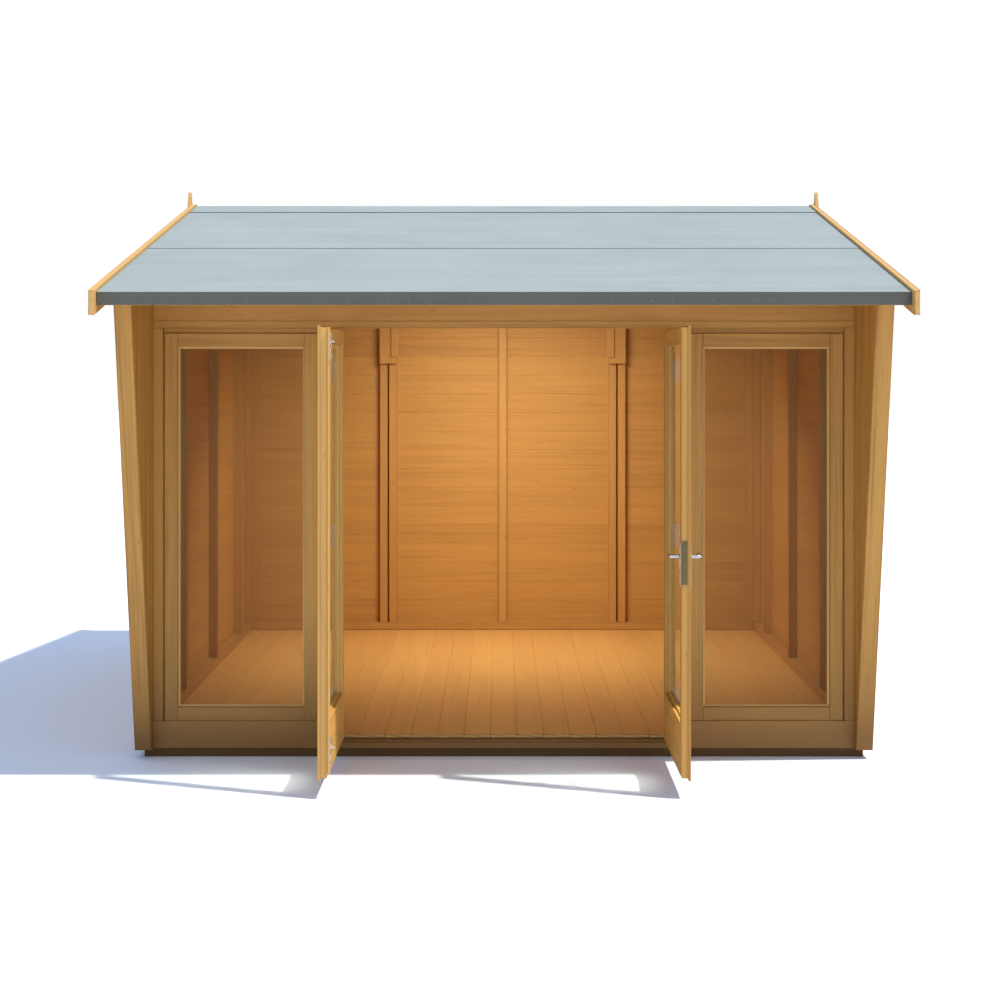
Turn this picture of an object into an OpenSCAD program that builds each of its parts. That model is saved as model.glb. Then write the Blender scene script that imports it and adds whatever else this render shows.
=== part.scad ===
// Timber summerhouse with a ridged roof, side walls whose front edges lean out under the eave,
// two fixed windows and a pair of glazed doors. Origin: middle of the footprint, on the ground.
// +X is to the right seen from the front, +Y to the back, +Z up. The ridge runs along X at Y = 0.

/* [Walls] */
// Outside width over the side cladding
wall_width = 2990; // [2400:10:3600]
// Outside depth at the bottom of the side walls
wall_depth = 2990; // [2500:10:3600]
// Thickness of the outside boards
cladding_t = 12; // [10:1:16]
// Depth of studs and rails, through the wall
stud_depth = 44; // [38:1:60]
// Width of a stud, along the wall
stud_w = 44; // [34:1:50]
// Height of the bottom and top rails
rail_h = 44; // [34:1:60]
// Thickness of the lining inside the front wings
lining_t = 11; // [8:1:16]
// How far the wings' front edges lean out, as a share of their height
front_lean = 0.2174; // [0.1:0.001:0.24]
// Thickness of the boards that close the wings' front edges, front to back
edge_board_t = 16; // [12:1:22]
// Middle of each roof truss, from the middle of the house
truss_x = 657; // [560:1:680]
// Gap between the paired studs under each truss
pair_gap = 9; // [6:1:14]

/* [Floor] */
// Height of the bearers
bearer_h = 69; // [60:1:90]
// Width of a bearer
bearer_w = 44; // [38:1:60]
// Number of bearers, odd so that one lies under the middle
bearer_count = 7; // [5:2:9]
// Thickness of the floor boards
floor_t = 16; // [14:1:22]
// How far the floor stands in from the side walls' outside faces
floor_inset = 28; // [20:1:40]
// Height of the bottom of the cladding above the ground
cladding_bottom = 37; // [25:1:48]

/* [Front] */
// Set-back of the front frame behind the side walls' bottom front corners
front_setback = 40; // [30:1:60]
// Half of the doorway's width, between the door posts
doorway_half = 695; // [640:5:720]
// Width of a door post
door_post_w = 65; // [45:1:80]
// Width of an outer post
outer_post_w = 40; // [30:1:60]
// Height of the head rail's underside
head_z = 1748; // [1650:1:1760]
// Height of the head rail
head_rail_h = 29; // [24:1:50]
// Height of the top of the sill beams
sill_top = 148; // [135:1:190]
// Height of the board across the foot of the doorway
threshold_top = 60; // [50:1:62]

/* [Windows] */
// Width of a window stile that shows
window_stile_w = 53; // [40:1:70]
// Height of a window's bottom rail that shows
window_bottom_rail = 57; // [40:1:80]
// Height of a window's top rail that shows
window_top_rail = 54; // [40:1:70]
// Thickness of the glass in windows and doors
glass_t = 4; // [3:1:6]
// Depth of the step that the glass lies against, at each edge
glass_lap = 8; // [6:1:12]

/* [Doors] */
// Thickness of a door's frame behind its facing
door_frame_t = 25; // [24:1:36]
// Thickness of a door's outer facing
door_facing_t = 10; // [10:1:16]
// Width of a door's facing along the edges
door_stile_w = 60; // [52:1:80]
// Height of a door's bottom rail
door_bottom_rail = 202; // [150:1:260]
// Height of a door's top rail
door_top_rail = 69; // [55:1:90]
// Gap around a closed door, at the posts and between the two leaves
door_gap = 5; // [5:0.5:6]
// Height of the bottom of the facing
door_bottom = 68; // [68:1:74]
// How far the facing reaches below the door's frame
facing_drop = 10; // [8:1:14]
// Angle that the doors stand open at
door_rest_angle = 90; // [60:5:120]
// Height of the lever handles
handle_z = 890; // [800:10:1000]

/* [Roof] */
// Height of the ridge above the ground
ridge_height = 2384; // [2340:1:2500]
// Rise of the roof over its run
roof_slope = 0.2437; // [0.22:0.001:0.26]
// Reach of the front eave beyond the side walls' bottom front corners
front_overhang = 610; // [580:5:700]
// Reach of the back eave beyond the back wall
back_overhang = 100; // [80:5:200]
// Reach of the roof boards beyond each side wall
side_overhang = 12; // [12:1:60]
// Thickness of the roof boards
deck_t = 12; // [10:1:18]
// Thickness of the roofing felt
felt_t = 3; // [2:0.5:4]
// Distance of the felt's lap from the ridge, level
felt_lap_run = 1185; // [900:5:1300]
// Reach of the ridge cap down each slope, level
cap_run = 195; // [120:5:300]
// Height of the barge boards
barge_h = 90; // [70:1:120]
// Thickness of the barge boards
barge_t = 24; // [16:1:30]
// Depth of the truss rafters
rafter_h = 70; // [60:1:90]

/* [Hidden] */
$fn = 48;

timber = "#c98f4e";
timber_shade = "#a9773f";
timber_dark = "#4a3720";
felt_colour = "#b9c8cd";
glass_colour = [0.75, 0.82, 0.8, 0.35];
metal = "silver";

half_w = wall_width / 2;
half_d = wall_depth / 2;
stud_outer = half_w - cladding_t;
stud_inner = stud_outer - stud_depth;
lining_inner = stud_inner - lining_t;
floor_top = bearer_h + floor_t;
rail_top = floor_top + rail_h;

pitch = atan(roof_slope);
steep = 1 / cos(pitch);
deck_v = deck_t * steep;
felt_v = felt_t * steep;
rail_v = rail_h * steep;
rafter_v = rafter_h * steep;
roof_half = half_w + side_overhang;
front_eave = half_d + front_overhang;
back_eave = half_d + back_overhang;
deck_under = ridge_height - deck_v - 2 * felt_v;
// Hair gap over and under the roof boards, so that slanted faces never bite into their neighbours
deck_seat = 0.05;
// Hair gap where boards of one piece butt or lap, so that each stays a board of its own
butt_gap = 0.05;
lap_rise = 2;
lap_fade = 300;
eave_drop = 34;
eave_batten_w = 28;
barge_rise = 10;
barge_past_eave = 40;
barge_v = barge_h * steep;

front_y = front_setback - half_d;
leaf_t = door_frame_t + door_facing_t;
frame_back = front_y + stud_depth;
// The floor starts behind the closed doors and behind the front frame, whichever is further back
floor_front = max(front_y + leaf_t + door_gap + 1, frame_back + 1);
bearer_front = front_y + door_facing_t + door_gap;
back_inner = half_d - cladding_t - stud_depth;
side_stud_steps = [0.285, 0.572, 0.843];

post_in = doorway_half + door_post_w;
post_out = lining_inner - outer_post_w;
window_recess = 2;
packer_recess = 10;
packer_side = 6;
packer_top = 21;

hinge_out = 6.5;
hinge_r = 6;
hinge_pin_r = 4;
hinge_play = 0.1;
hinge_h = 90;
hinge_plate = [42, 2.5];
hinge_x = doorway_half - door_gap / 2;
hinge_y = front_y - hinge_out;
leaf_edge = doorway_half - door_gap;
leaf_meet = door_gap / 2;
leaf_bottom = door_bottom + facing_drop;
facing_top = head_z - door_gap - 1;
leaf_top = facing_top - 7;
leaf_back = front_y + leaf_t;
facing_back = front_y + door_facing_t;
pane = [
    leaf_meet + door_stile_w, leaf_edge - door_stile_w,
    leaf_bottom + door_bottom_rail, facing_top - door_top_rail
];
hinge_heights = [leaf_bottom + 160, (leaf_bottom + leaf_top) / 2, leaf_top - 160];

strip_w = 30;
strip_t = 10;
strip_over = 6;
bolt_x = -leaf_meet - 38;
bolt_r = 5;
spindle_x = leaf_meet + 30;
spindle_r = 5;
spindle_play = 0.5;
plate_t = 3;
plate_w = 30;
plate_low = 110;
plate_high = 50;
lever_r = 8;
lever_reach = 46;
lever_length = 105;
lever_gap = 0.3;

heel_drop = 1615;
gusset_drop = 1653;
heel_t = 28;
gusset_t = 12;
gusset_w = 42;
rafter_t = 28;
collar_t = 12;
collar_h = 70;
collar_drop = 165;
collar_half = 560;
ridge_beam_t = 28;
ridge_beam_h = 95;
finial_w = 90;
finial_t = 16;
finial_top = 68;
finial_drop = 150;

// Height of the roof boards' underside at a distance y from the ridge.
function under(y) = deck_under - abs(y) * roof_slope;

// Y of the wings' leaning front edge at height z, moved back by off.
function lean_y(z, off) = -half_d - front_lean * (z - cladding_bottom) + off;

// Height at which that edge meets a line that lies drop below the roof boards.
function lean_top(off, drop) =
    (deck_under - drop + roof_slope * (front_lean * cladding_bottom - half_d + off))
    / (1 + roof_slope * front_lean);

// A slab between x0 and x1 with the side outline pts, given as [y, z].
module side_slab(x0, x1, pts) {
    translate([x0, 0, 0])
        rotate([90, 0, 90])
            linear_extrude(x1 - x0)
                polygon(pts);
}

// A box from its lowest to its highest corner.
module block(low, high) {
    translate(low)
        cube(high - low);
}

// The child, and its mirror image on the other side of the house.
module both_sides() {
    children();
    mirror([1, 0, 0])
        children();
}

// A sheet that follows the roof from y0 to y1 on one slope, between two heights over the underside.
module roof_sheet(x0, x1, y0, y1, low, high) {
    side_slab(x0, x1, [
        [y0, under(y0) + low], [y1, under(y1) + low], [y1, under(y1) + high], [y0, under(y0) + high]
    ]);
}

// Outline of a side wall, off behind the leaning edge, up to drop below the roof boards.
function wall_outline(off, bottom, back, drop) = [
    [lean_y(bottom, off), bottom],
    [back, bottom],
    [back, under(back) - drop],
    [0, deck_under - drop],
    [lean_y(lean_top(off, drop), off), lean_top(off, drop)]
];

/* Base and walls */

module floor_bearers() {
    step = -2 * (bearer_front + bearer_w / 2) / (bearer_count - 1);
    color(timber_dark)
        for (i = [0 : bearer_count - 1])
            block([floor_inset - half_w, bearer_front + i * step, 0],
                  [half_w - floor_inset, bearer_front + bearer_w + i * step, bearer_h]);
}

module floor_boards() {
    color(timber)
        block([floor_inset - half_w, floor_front, bearer_h],
              [half_w - floor_inset, half_d - cladding_t, floor_top]);
}

module side_cladding() {
    side_slab(stud_outer, half_w, wall_outline(edge_board_t, cladding_bottom, half_d, 0));
}

module left_wall_cladding() {
    color(timber)
        mirror([1, 0, 0])
            side_cladding();
}

module right_wall_cladding() {
    color(timber)
        side_cladding();
}

module back_wall_cladding() {
    y0 = half_d - cladding_t;
    color(timber)
        side_slab(-stud_outer, stud_outer,
                  [[y0, cladding_bottom], [half_d, cladding_bottom], [half_d, under(half_d)], [y0, under(y0)]]);
}

// A stud of a side wall that starts at y and is w wide.
module side_stud(y, w) {
    side_slab(stud_inner, stud_outer,
              [[y, rail_top], [y + w, rail_top], [y + w, under(y + w) - rail_v], [y, under(y) - rail_v]]);
}

module side_wall_studs() {
    top0 = lean_top(edge_board_t, rail_v);
    top1 = lean_top(edge_board_t + stud_w, rail_v);
    color(timber_shade)
        both_sides() {
            side_slab(stud_inner, stud_outer, [
                [lean_y(rail_top, edge_board_t), rail_top],
                [lean_y(rail_top, edge_board_t + stud_w), rail_top],
                [lean_y(top1, edge_board_t + stud_w), top1],
                [lean_y(top0, edge_board_t), top0]
            ]);
            side_stud(frame_back + stud_w / 4, stud_w);
            for (s = side_stud_steps)
                side_stud(s * wall_depth - half_d, stud_w);
            side_stud(half_d - cladding_t - stud_w, stud_w);
        }
}

module side_wall_bottom_rails() {
    back = half_d - cladding_t;
    color(timber_shade)
        both_sides()
            side_slab(stud_inner, stud_outer, [
                [lean_y(floor_top, edge_board_t), floor_top], [back, floor_top],
                [back, rail_top], [lean_y(rail_top, edge_board_t), rail_top]
            ]);
}

module gable_top_rails() {
    back = half_d - cladding_t;
    top = lean_top(edge_board_t, 0);
    low = lean_top(edge_board_t, rail_v);
    color(timber_shade)
        both_sides()
            side_slab(stud_inner, stud_outer, [
                [lean_y(top, edge_board_t), top], [0, deck_under], [back, under(back)],
                [back, under(back) - rail_v], [0, deck_under - rail_v], [lean_y(low, edge_board_t), low]
            ]);
}

module back_stud(x, w) {
    block([x, back_inner, rail_top],
          [x + w, half_d - cladding_t, under(half_d - cladding_t) - rail_v]);
}

module back_wall_studs() {
    color(timber_shade) {
        back_stud(-stud_w / 2, stud_w);
        both_sides() {
            back_stud(truss_x - pair_gap / 2 - stud_w, stud_w);
            back_stud(truss_x + pair_gap / 2, stud_w);
            back_stud(stud_inner - stud_w, stud_w);
        }
    }
}

module back_wall_rails() {
    y1 = half_d - cladding_t;
    top = under(y1) - rail_v;
    color(timber_shade) {
        block([-stud_inner, back_inner, floor_top], [stud_inner, y1, rail_top]);
        side_slab(-stud_inner, stud_inner,
                  [[back_inner, top], [y1, top], [y1, under(y1)], [back_inner, under(back_inner)]]);
    }
}

module back_corner_trims() {
    trim_w = 56;
    edge = half_d + side_overhang;
    color(timber)
        both_sides() {
            side_slab(half_w, roof_half, [
                [edge - trim_w, cladding_bottom], [edge, cladding_bottom],
                [edge, under(edge)], [edge - trim_w, under(edge - trim_w)]
            ]);
            side_slab(half_w - trim_w + side_overhang, half_w - butt_gap, [
                [half_d, cladding_bottom], [edge, cladding_bottom],
                [edge, under(edge)], [half_d, under(half_d)]
            ]);
        }
}

module wing_linings() {
    top = lean_top(edge_board_t, 0);
    color(timber)
        both_sides()
            side_slab(lining_inner, stud_inner, [
                [lean_y(cladding_bottom, edge_board_t), cladding_bottom],
                [bearer_front, cladding_bottom],
                [bearer_front, bearer_h],
                [frame_back, bearer_h],
                [frame_back, under(frame_back)],
                [lean_y(top, edge_board_t), top]
            ]);
}

module wing_edge_boards() {
    top0 = lean_top(0, 0);
    top1 = lean_top(edge_board_t, 0);
    color(timber)
        both_sides()
            side_slab(lining_inner, half_w, [
                [lean_y(cladding_bottom, 0), cladding_bottom],
                [lean_y(cladding_bottom, edge_board_t), cladding_bottom],
                [lean_y(top1, edge_board_t), top1],
                [lean_y(top0, 0), top0]
            ]);
}

/* Front frame and windows */

module front_outer_posts() {
    color(timber_shade)
        both_sides()
            block([post_out, front_y, sill_top], [lining_inner, frame_back, head_z]);
}

module front_door_posts() {
    color(timber_shade)
        both_sides()
            block([doorway_half, front_y, sill_top], [post_in, frame_back, head_z]);
}

module front_head_rail() {
    color(timber_shade)
        block([-lining_inner, front_y, head_z], [lining_inner, frame_back, head_z + head_rail_h]);
}

module front_header_board() {
    y1 = front_y + cladding_t;
    z0 = head_z + head_rail_h;
    color(timber)
        side_slab(-lining_inner, lining_inner,
                  [[front_y, z0], [y1, z0], [y1, under(y1)], [front_y, under(front_y)]]);
}

module front_sill_beams() {
    color(timber_shade)
        both_sides()
            block([doorway_half, front_y + cladding_t, bearer_h], [lining_inner, floor_front, sill_top]);
}

module front_sill_board() {
    color(timber_dark)
        difference() {
            block([-lining_inner, front_y, cladding_bottom],
                  [lining_inner, front_y + cladding_t, sill_top]);
            block([-doorway_half, front_y - 1, threshold_top],
                  [doorway_half, front_y + cladding_t + 1, sill_top + 1]);
        }
}

window_low = sill_top + window_bottom_rail;
window_high = head_z - packer_top - window_top_rail;
window_in = post_in + window_stile_w;
window_out = post_out - packer_side - window_stile_w;
window_glass_y = front_y + stud_depth / 2;

module window_frames() {
    color(timber)
        both_sides()
            difference() {
                union() {
                    block([post_in, front_y + packer_recess, sill_top], [post_out, frame_back, head_z]);
                    block([post_in, front_y + window_recess, sill_top],
                          [post_out - packer_side, frame_back, head_z - packer_top]);
                }
                block([window_in, front_y - 1, window_low], [window_out, frame_back + 1, window_high]);
                block([window_in - glass_lap, window_glass_y, window_low - glass_lap],
                      [window_out + glass_lap, frame_back + 1, window_high + glass_lap]);
            }
}

module window_glass() {
    fit = glass_lap - 0.5;
    color(glass_colour)
        both_sides()
            block([window_in - fit, window_glass_y, window_low - glass_lap],
                  [window_out + fit, window_glass_y + glass_t, window_high + fit]);
}

/* Roof */

module roof_boards_front() {
    color(timber)
        roof_sheet(-roof_half, roof_half, -front_eave, 0, deck_seat, deck_v - deck_seat);
}

module roof_boards_back() {
    color(timber)
        roof_sheet(-roof_half, roof_half, 0, back_eave, deck_seat, deck_v - deck_seat);
}

// A sheet of felt from the eave to y1 with its turned-down edge over the eave batten.
module eave_felt(eave, y1, top) {
    s = sign(eave);
    side_slab(-roof_half, roof_half, [
        [eave, under(eave) + deck_v],
        [y1, under(y1) + deck_v],
        [y1, under(y1) + deck_v + top],
        [eave + s * felt_t, under(eave + s * felt_t) + deck_v + top],
        [eave + s * felt_t, under(eave) - eave_drop],
        [eave, under(eave) - eave_drop]
    ]);
}

module felt_front_lower() {
    color(felt_colour)
        eave_felt(-front_eave, -felt_lap_run, felt_v);
}

module felt_front_upper() {
    lap = -felt_lap_run;
    thin = lap + lap_fade;
    color(felt_colour)
        side_slab(-roof_half, roof_half, [
            [lap, under(lap) + deck_v], [0, deck_under + deck_v], [0, deck_under + deck_v + felt_v],
            [thin, under(thin) + deck_v + felt_v], [lap, under(lap) + deck_v + felt_v + lap_rise]
        ]);
}

module felt_back() {
    color(felt_colour)
        eave_felt(back_eave, 0, felt_v);
}

module felt_ridge_cap() {
    low = deck_v + felt_v;
    high = deck_v + 2 * felt_v;
    color(felt_colour)
        side_slab(-roof_half, roof_half, [
            [-cap_run, under(cap_run) + low], [0, deck_under + low], [cap_run, under(cap_run) + low],
            [cap_run, under(cap_run) + high], [0, deck_under + high], [-cap_run, under(cap_run) + high]
        ]);
}

// A batten under the edge of the roof boards at one eave.
module eave_batten(eave) {
    y1 = eave - sign(eave) * eave_batten_w;
    side_slab(-roof_half, roof_half, [
        [eave, under(eave) - eave_drop], [y1, under(eave) - eave_drop], [y1, under(y1)], [eave, under(eave)]
    ]);
}

module eave_battens() {
    color(timber_shade) {
        eave_batten(-front_eave);
        eave_batten(back_eave);
    }
}

module barge_board(end) {
    high = deck_v + 2 * felt_v + barge_rise;
    both_sides()
        roof_sheet(roof_half, roof_half + barge_t, min(end, 0), max(end, 0), high - barge_v, high);
}

module barge_boards_front() {
    color(timber)
        barge_board(-front_eave - barge_past_eave);
}

module barge_boards_back() {
    color(timber)
        barge_board(back_eave + barge_past_eave);
}

module finials() {
    top = ridge_height + finial_top;
    low = ridge_height - finial_drop;
    w = finial_w / 2;
    color(timber)
        both_sides()
            side_slab(roof_half + barge_t, roof_half + barge_t + finial_t, [
                [-w, low + 60], [0, low], [w, low + 60], [w, top - 115],
                [12, top - 22], [0, top], [-12, top - 22], [-w, top - 115]
            ]);
}

module ridge_beam() {
    w = ridge_beam_t / 2;
    color(timber_shade)
        side_slab(-stud_inner, stud_inner, [
            [-w, deck_under - ridge_beam_h], [w, deck_under - ridge_beam_h],
            [w, under(w)], [0, deck_under], [-w, under(w)]
        ]);
}

module roof_trusses() {
    x0 = truss_x - rafter_t / 2;
    z1 = deck_under - collar_drop;
    color(timber_shade)
        both_sides() {
            roof_sheet(x0, x0 + rafter_t, front_y + cladding_t, -ridge_beam_t / 2, -rafter_v, 0);
            roof_sheet(x0, x0 + rafter_t, ridge_beam_t / 2, back_inner, -rafter_v, 0);
            block([x0 + rafter_t + butt_gap, -collar_half, z1 - collar_h], [x0 + rafter_t + collar_t, collar_half, z1]);
        }
}

module truss_heel_plates() {
    y0 = back_inner - heel_t;
    top0 = under(y0) - rafter_v;
    top1 = under(back_inner) - rafter_v;
    y2 = y0 - gusset_t;
    inner = truss_x - pair_gap / 2 - stud_w;
    color(timber_shade)
        both_sides() {
            side_slab(inner, truss_x + pair_gap / 2 + stud_w,
                      [[y0, heel_drop], [back_inner, heel_drop], [back_inner, top1], [y0, top0]]);
            side_slab(inner - collar_t, inner - collar_t + gusset_w,
                      [[y2, gusset_drop], [y0, gusset_drop], [y0, top0], [y2, under(y2) - rafter_v]]);
        }
}

/* Doors: each leaf is drawn closed as the right-hand one, then turned open about its hinge pins */

// The child turned open about the right-hand door's hinge pins.
module opened() {
    translate([hinge_x, hinge_y, 0])
        rotate([0, 0, door_rest_angle])
            translate([-hinge_x, -hinge_y, 0])
                children();
}

// The same on the left-hand side.
module opened_left() {
    mirror([1, 0, 0])
        opened()
            children();
}

module leaf_frame() {
    difference() {
        block([leaf_meet, facing_back, leaf_bottom], [leaf_edge, leaf_back, leaf_top]);
        block([pane[0] - glass_lap, facing_back - 1, pane[2] - glass_lap],
              [pane[1] + glass_lap, leaf_back + 1, pane[3] + glass_lap]);
    }
}

module leaf_facing() {
    difference() {
        block([leaf_meet, front_y, door_bottom], [leaf_edge, facing_back, facing_top]);
        block([pane[0], front_y - 1, pane[2]], [pane[1], facing_back + 1, pane[3]]);
    }
}

module leaf_glass() {
    fit = glass_lap - 0.5;
    block([pane[0] - fit, facing_back, pane[2] - glass_lap],
          [pane[1] + fit, facing_back + glass_t, pane[3] + fit]);
}

// The door's half of each hinge: a plate on the facing and the middle barrel.
module leaf_hinges() {
    for (z = hinge_heights)
        difference() {
            union() {
                block([leaf_edge - hinge_plate[0], front_y - hinge_plate[1], z - hinge_h / 2],
                      [leaf_edge, front_y, z + hinge_h / 2]);
                translate([hinge_x, hinge_y, z - hinge_h / 6])
                    cylinder(r = hinge_r, h = hinge_h / 3);
            }
            translate([hinge_x, hinge_y, z - hinge_h])
                cylinder(r = hinge_pin_r + hinge_play, h = 2 * hinge_h);
            hinge_end_cut(z, 1);
            hinge_end_cut(z, -1);
        }
}

// Room for the frame's end barrels beside the door's plate.
module hinge_end_cut(z, side) {
    h = hinge_h / 3;
    z0 = side > 0 ? z + hinge_h / 6 - hinge_play : z - hinge_h / 6 - h + hinge_play;
    translate([hinge_x, hinge_y, z0])
        cylinder(r = hinge_r + 0.5, h = h + 1);
}

// The frame's half of each hinge: a plate on the post, the two end barrels and the pin.
module frame_hinges() {
    end_h = hinge_h / 3 - 2 * hinge_play;
    color(metal)
        both_sides()
            for (z = hinge_heights)
                union() {
                    difference() {
                        block([doorway_half, front_y - hinge_plate[1], z - hinge_h / 2],
                              [doorway_half + hinge_plate[0], front_y, z + hinge_h / 2]);
                        translate([hinge_x, hinge_y, z - hinge_h / 6 - hinge_play])
                            cylinder(r = hinge_r + 0.5, h = hinge_h / 3 + 2 * hinge_play);
                    }
                    for (s = [-1, 1])
                        translate([hinge_x, hinge_y, z + s * hinge_h / 3 - end_h / 2])
                            cylinder(r = hinge_r, h = end_h);
                    translate([hinge_x, hinge_y, z - hinge_h / 2])
                        cylinder(r = hinge_pin_r, h = hinge_h);
                }
}

module left_door_frame() {
    color(timber)
        opened_left()
            leaf_frame();
}

module left_door_facing() {
    color(timber)
        opened_left()
            leaf_facing();
}

module left_door_glass() {
    color(glass_colour)
        opened_left()
            leaf_glass();
}

module left_door_hinges() {
    color(metal)
        opened_left()
            leaf_hinges();
}

// The strip inside the left leaf that laps behind the right one, stepped to stay clear of it.
module left_door_meeting_strip() {
    z0 = floor_top + 2 * door_gap;
    color(timber)
        opened_left()
            difference() {
                block([-leaf_meet - strip_over, leaf_back, z0],
                      [strip_w - strip_over, leaf_back + strip_t, leaf_top]);
                block([-leaf_meet - strip_over - 1, leaf_back - 1, z0 - 1],
                      [leaf_meet, leaf_back + door_gap, leaf_top + 1]);
            }
}

// A surface bolt: plate, guides and rod, drawn back.
module surface_bolt(z) {
    y = leaf_back;
    x = -bolt_x;
    block([x - 11, y, z - 55], [x + 11, y + 2.5, z + 55]);
    for (s = [-38, 0, 38])
        block([x - 8, y + 2, z + s - 8], [x + 8, y + 15, z + s + 8]);
    translate([x, y + 3 + bolt_r, z - 52])
        cylinder(r = bolt_r, h = 104);
    block([x - 3, y + 8, z + 14], [x + 3, y + 24, z + 22]);
}

module left_door_bolts() {
    color(metal)
        opened_left() {
            surface_bolt(leaf_top - 70);
            surface_bolt(leaf_bottom + 90);
        }
}

// The hole for the spindle, through everything at the lock.
module spindle_hole() {
    translate([spindle_x, leaf_back + 40, handle_z])
        rotate([90, 0, 0])
            cylinder(r = spindle_r + spindle_play, h = leaf_t + 80);
}

module right_door_frame() {
    color(timber)
        opened()
            difference() {
                leaf_frame();
                spindle_hole();
            }
}

module right_door_facing() {
    color(timber)
        opened()
            difference() {
                leaf_facing();
                spindle_hole();
            }
}

module right_door_glass() {
    color(glass_colour)
        opened()
            leaf_glass();
}

module right_door_hinges() {
    color(metal)
        opened()
            leaf_hinges();
}

module right_door_lock_plates() {
    color(metal)
        opened()
            for (y = [front_y - plate_t, leaf_back])
                difference() {
                    block([spindle_x - plate_w / 2, y, handle_z - plate_low],
                          [spindle_x + plate_w / 2, y + plate_t, handle_z + plate_high]);
                    spindle_hole();
                }
}

// One lever: a neck that stands off the plate and a bar towards the hinges.
module lever(y0, y1) {
    low = min(y0, y1);
    bar_y = y1 + (y1 > y0 ? -lever_r : lever_r);
    translate([spindle_x, low + abs(y1 - y0), handle_z])
        rotate([90, 0, 0])
            cylinder(r = lever_r, h = abs(y1 - y0));
    translate([spindle_x, bar_y, handle_z])
        rotate([0, 90, 0])
            cylinder(r = lever_r, h = lever_length);
}

module right_door_levers() {
    face0 = front_y - plate_t - lever_gap;
    face1 = leaf_back + plate_t + lever_gap;
    color(metal)
        opened()
            union() {
                translate([spindle_x, face1 + 1, handle_z])
                    rotate([90, 0, 0])
                        cylinder(r = spindle_r, h = face1 - face0 + 2);
                lever(face0, face0 - lever_reach);
                lever(face1, face1 + lever_reach);
            }
}

floor_bearers();
floor_boards();
left_wall_cladding();
right_wall_cladding();
back_wall_cladding();
side_wall_studs();
side_wall_bottom_rails();
gable_top_rails();
back_wall_studs();
back_wall_rails();
back_corner_trims();
wing_linings();
wing_edge_boards();
front_outer_posts();
front_door_posts();
front_head_rail();
front_header_board();
front_sill_beams();
front_sill_board();
window_frames();
window_glass();
roof_boards_front();
roof_boards_back();
felt_front_lower();
felt_front_upper();
felt_back();
felt_ridge_cap();
eave_battens();
barge_boards_front();
barge_boards_back();
finials();
ridge_beam();
roof_trusses();
truss_heel_plates();
frame_hinges();
left_door_frame();
left_door_facing();
left_door_glass();
left_door_hinges();
left_door_meeting_strip();
left_door_bolts();
right_door_frame();
right_door_facing();
right_door_glass();
right_door_hinges();
right_door_lock_plates();
right_door_levers();
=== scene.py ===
"""Timber summerhouse: the boards, joinery, felt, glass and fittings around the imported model.

Every length is in metres and every place comes from the frame's own boxes and corners.
Each board carries two attributes that the timber finish reads: "grain", a place along,
across and into the board, and "tone", its own lightness.
"""

import math

import bpy
import numpy as np
from bpy.props import FloatProperty, FloatVectorProperty, IntProperty, PointerProperty
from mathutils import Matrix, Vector


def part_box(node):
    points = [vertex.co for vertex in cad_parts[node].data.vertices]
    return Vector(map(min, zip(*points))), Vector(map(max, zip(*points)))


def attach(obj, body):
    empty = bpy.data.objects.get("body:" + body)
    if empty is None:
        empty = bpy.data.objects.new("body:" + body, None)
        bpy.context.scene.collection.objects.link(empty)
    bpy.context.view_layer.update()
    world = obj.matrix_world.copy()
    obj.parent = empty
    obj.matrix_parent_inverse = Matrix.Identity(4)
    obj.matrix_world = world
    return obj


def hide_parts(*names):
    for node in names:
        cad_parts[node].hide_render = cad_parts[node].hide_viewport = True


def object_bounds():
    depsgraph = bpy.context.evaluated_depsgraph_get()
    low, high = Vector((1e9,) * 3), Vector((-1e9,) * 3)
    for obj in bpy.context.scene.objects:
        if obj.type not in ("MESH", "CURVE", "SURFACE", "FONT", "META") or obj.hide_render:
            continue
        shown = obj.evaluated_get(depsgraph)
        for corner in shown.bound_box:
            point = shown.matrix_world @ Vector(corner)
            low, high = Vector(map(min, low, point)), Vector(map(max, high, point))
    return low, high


bl_info = {
    "name": "Summerhouse",
    "version": (1, 0, 0),
    "blender": (4, 5, 0),
    "location": "3D View > Sidebar > Summerhouse",
    "description": "Makes the boards, joinery, felt and fittings of a timber summerhouse",
    "category": "Add Mesh",
}

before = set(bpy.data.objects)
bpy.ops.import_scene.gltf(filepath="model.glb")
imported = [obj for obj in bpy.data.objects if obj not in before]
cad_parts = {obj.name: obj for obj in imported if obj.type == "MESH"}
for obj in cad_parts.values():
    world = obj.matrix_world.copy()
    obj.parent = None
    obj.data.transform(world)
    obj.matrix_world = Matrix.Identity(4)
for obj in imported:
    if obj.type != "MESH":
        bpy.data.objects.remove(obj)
CAD_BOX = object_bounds()

HOUSE = "house"
DOORS = ("left_door", "right_door")
X, Y, Z = 0, 1, 2

SAME = 1e-4             # measures closer than this are one
GLASS_LAP = 0.0075      # how far a pane reaches behind its frame
NAIL_LIFT = 0.0008      # height of a nail's head
SCREW_LIFT = 0.0006     # height of a screw's head
SUNK = 0.0006           # depth that a head's rim reaches into its seat
SPINDLE = 0.0049        # radius of the bar between the levers
HINGE_PLATE = 0.0025    # thickness of a hinge's plate
NAIL_ROWS = (0.025, 0.083)      # heights of the two nails above a board's lower edge
NAIL_CLEAR = 0.05               # no nail in a side wall lies lower than this
HINGE_SCREWS = ((0.012, 0.012), (0.021, 0.045), (0.012, 0.078))     # (y, z) in a plate


def srgb(red, green, blue):
    """The linear colour of an 8-bit screen colour."""
    def channel(v):
        v /= 255
        return v / 12.92 if v <= 0.04045 else ((v + 0.055) / 1.055) ** 2.4
    return channel(red), channel(green), channel(blue)


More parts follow.
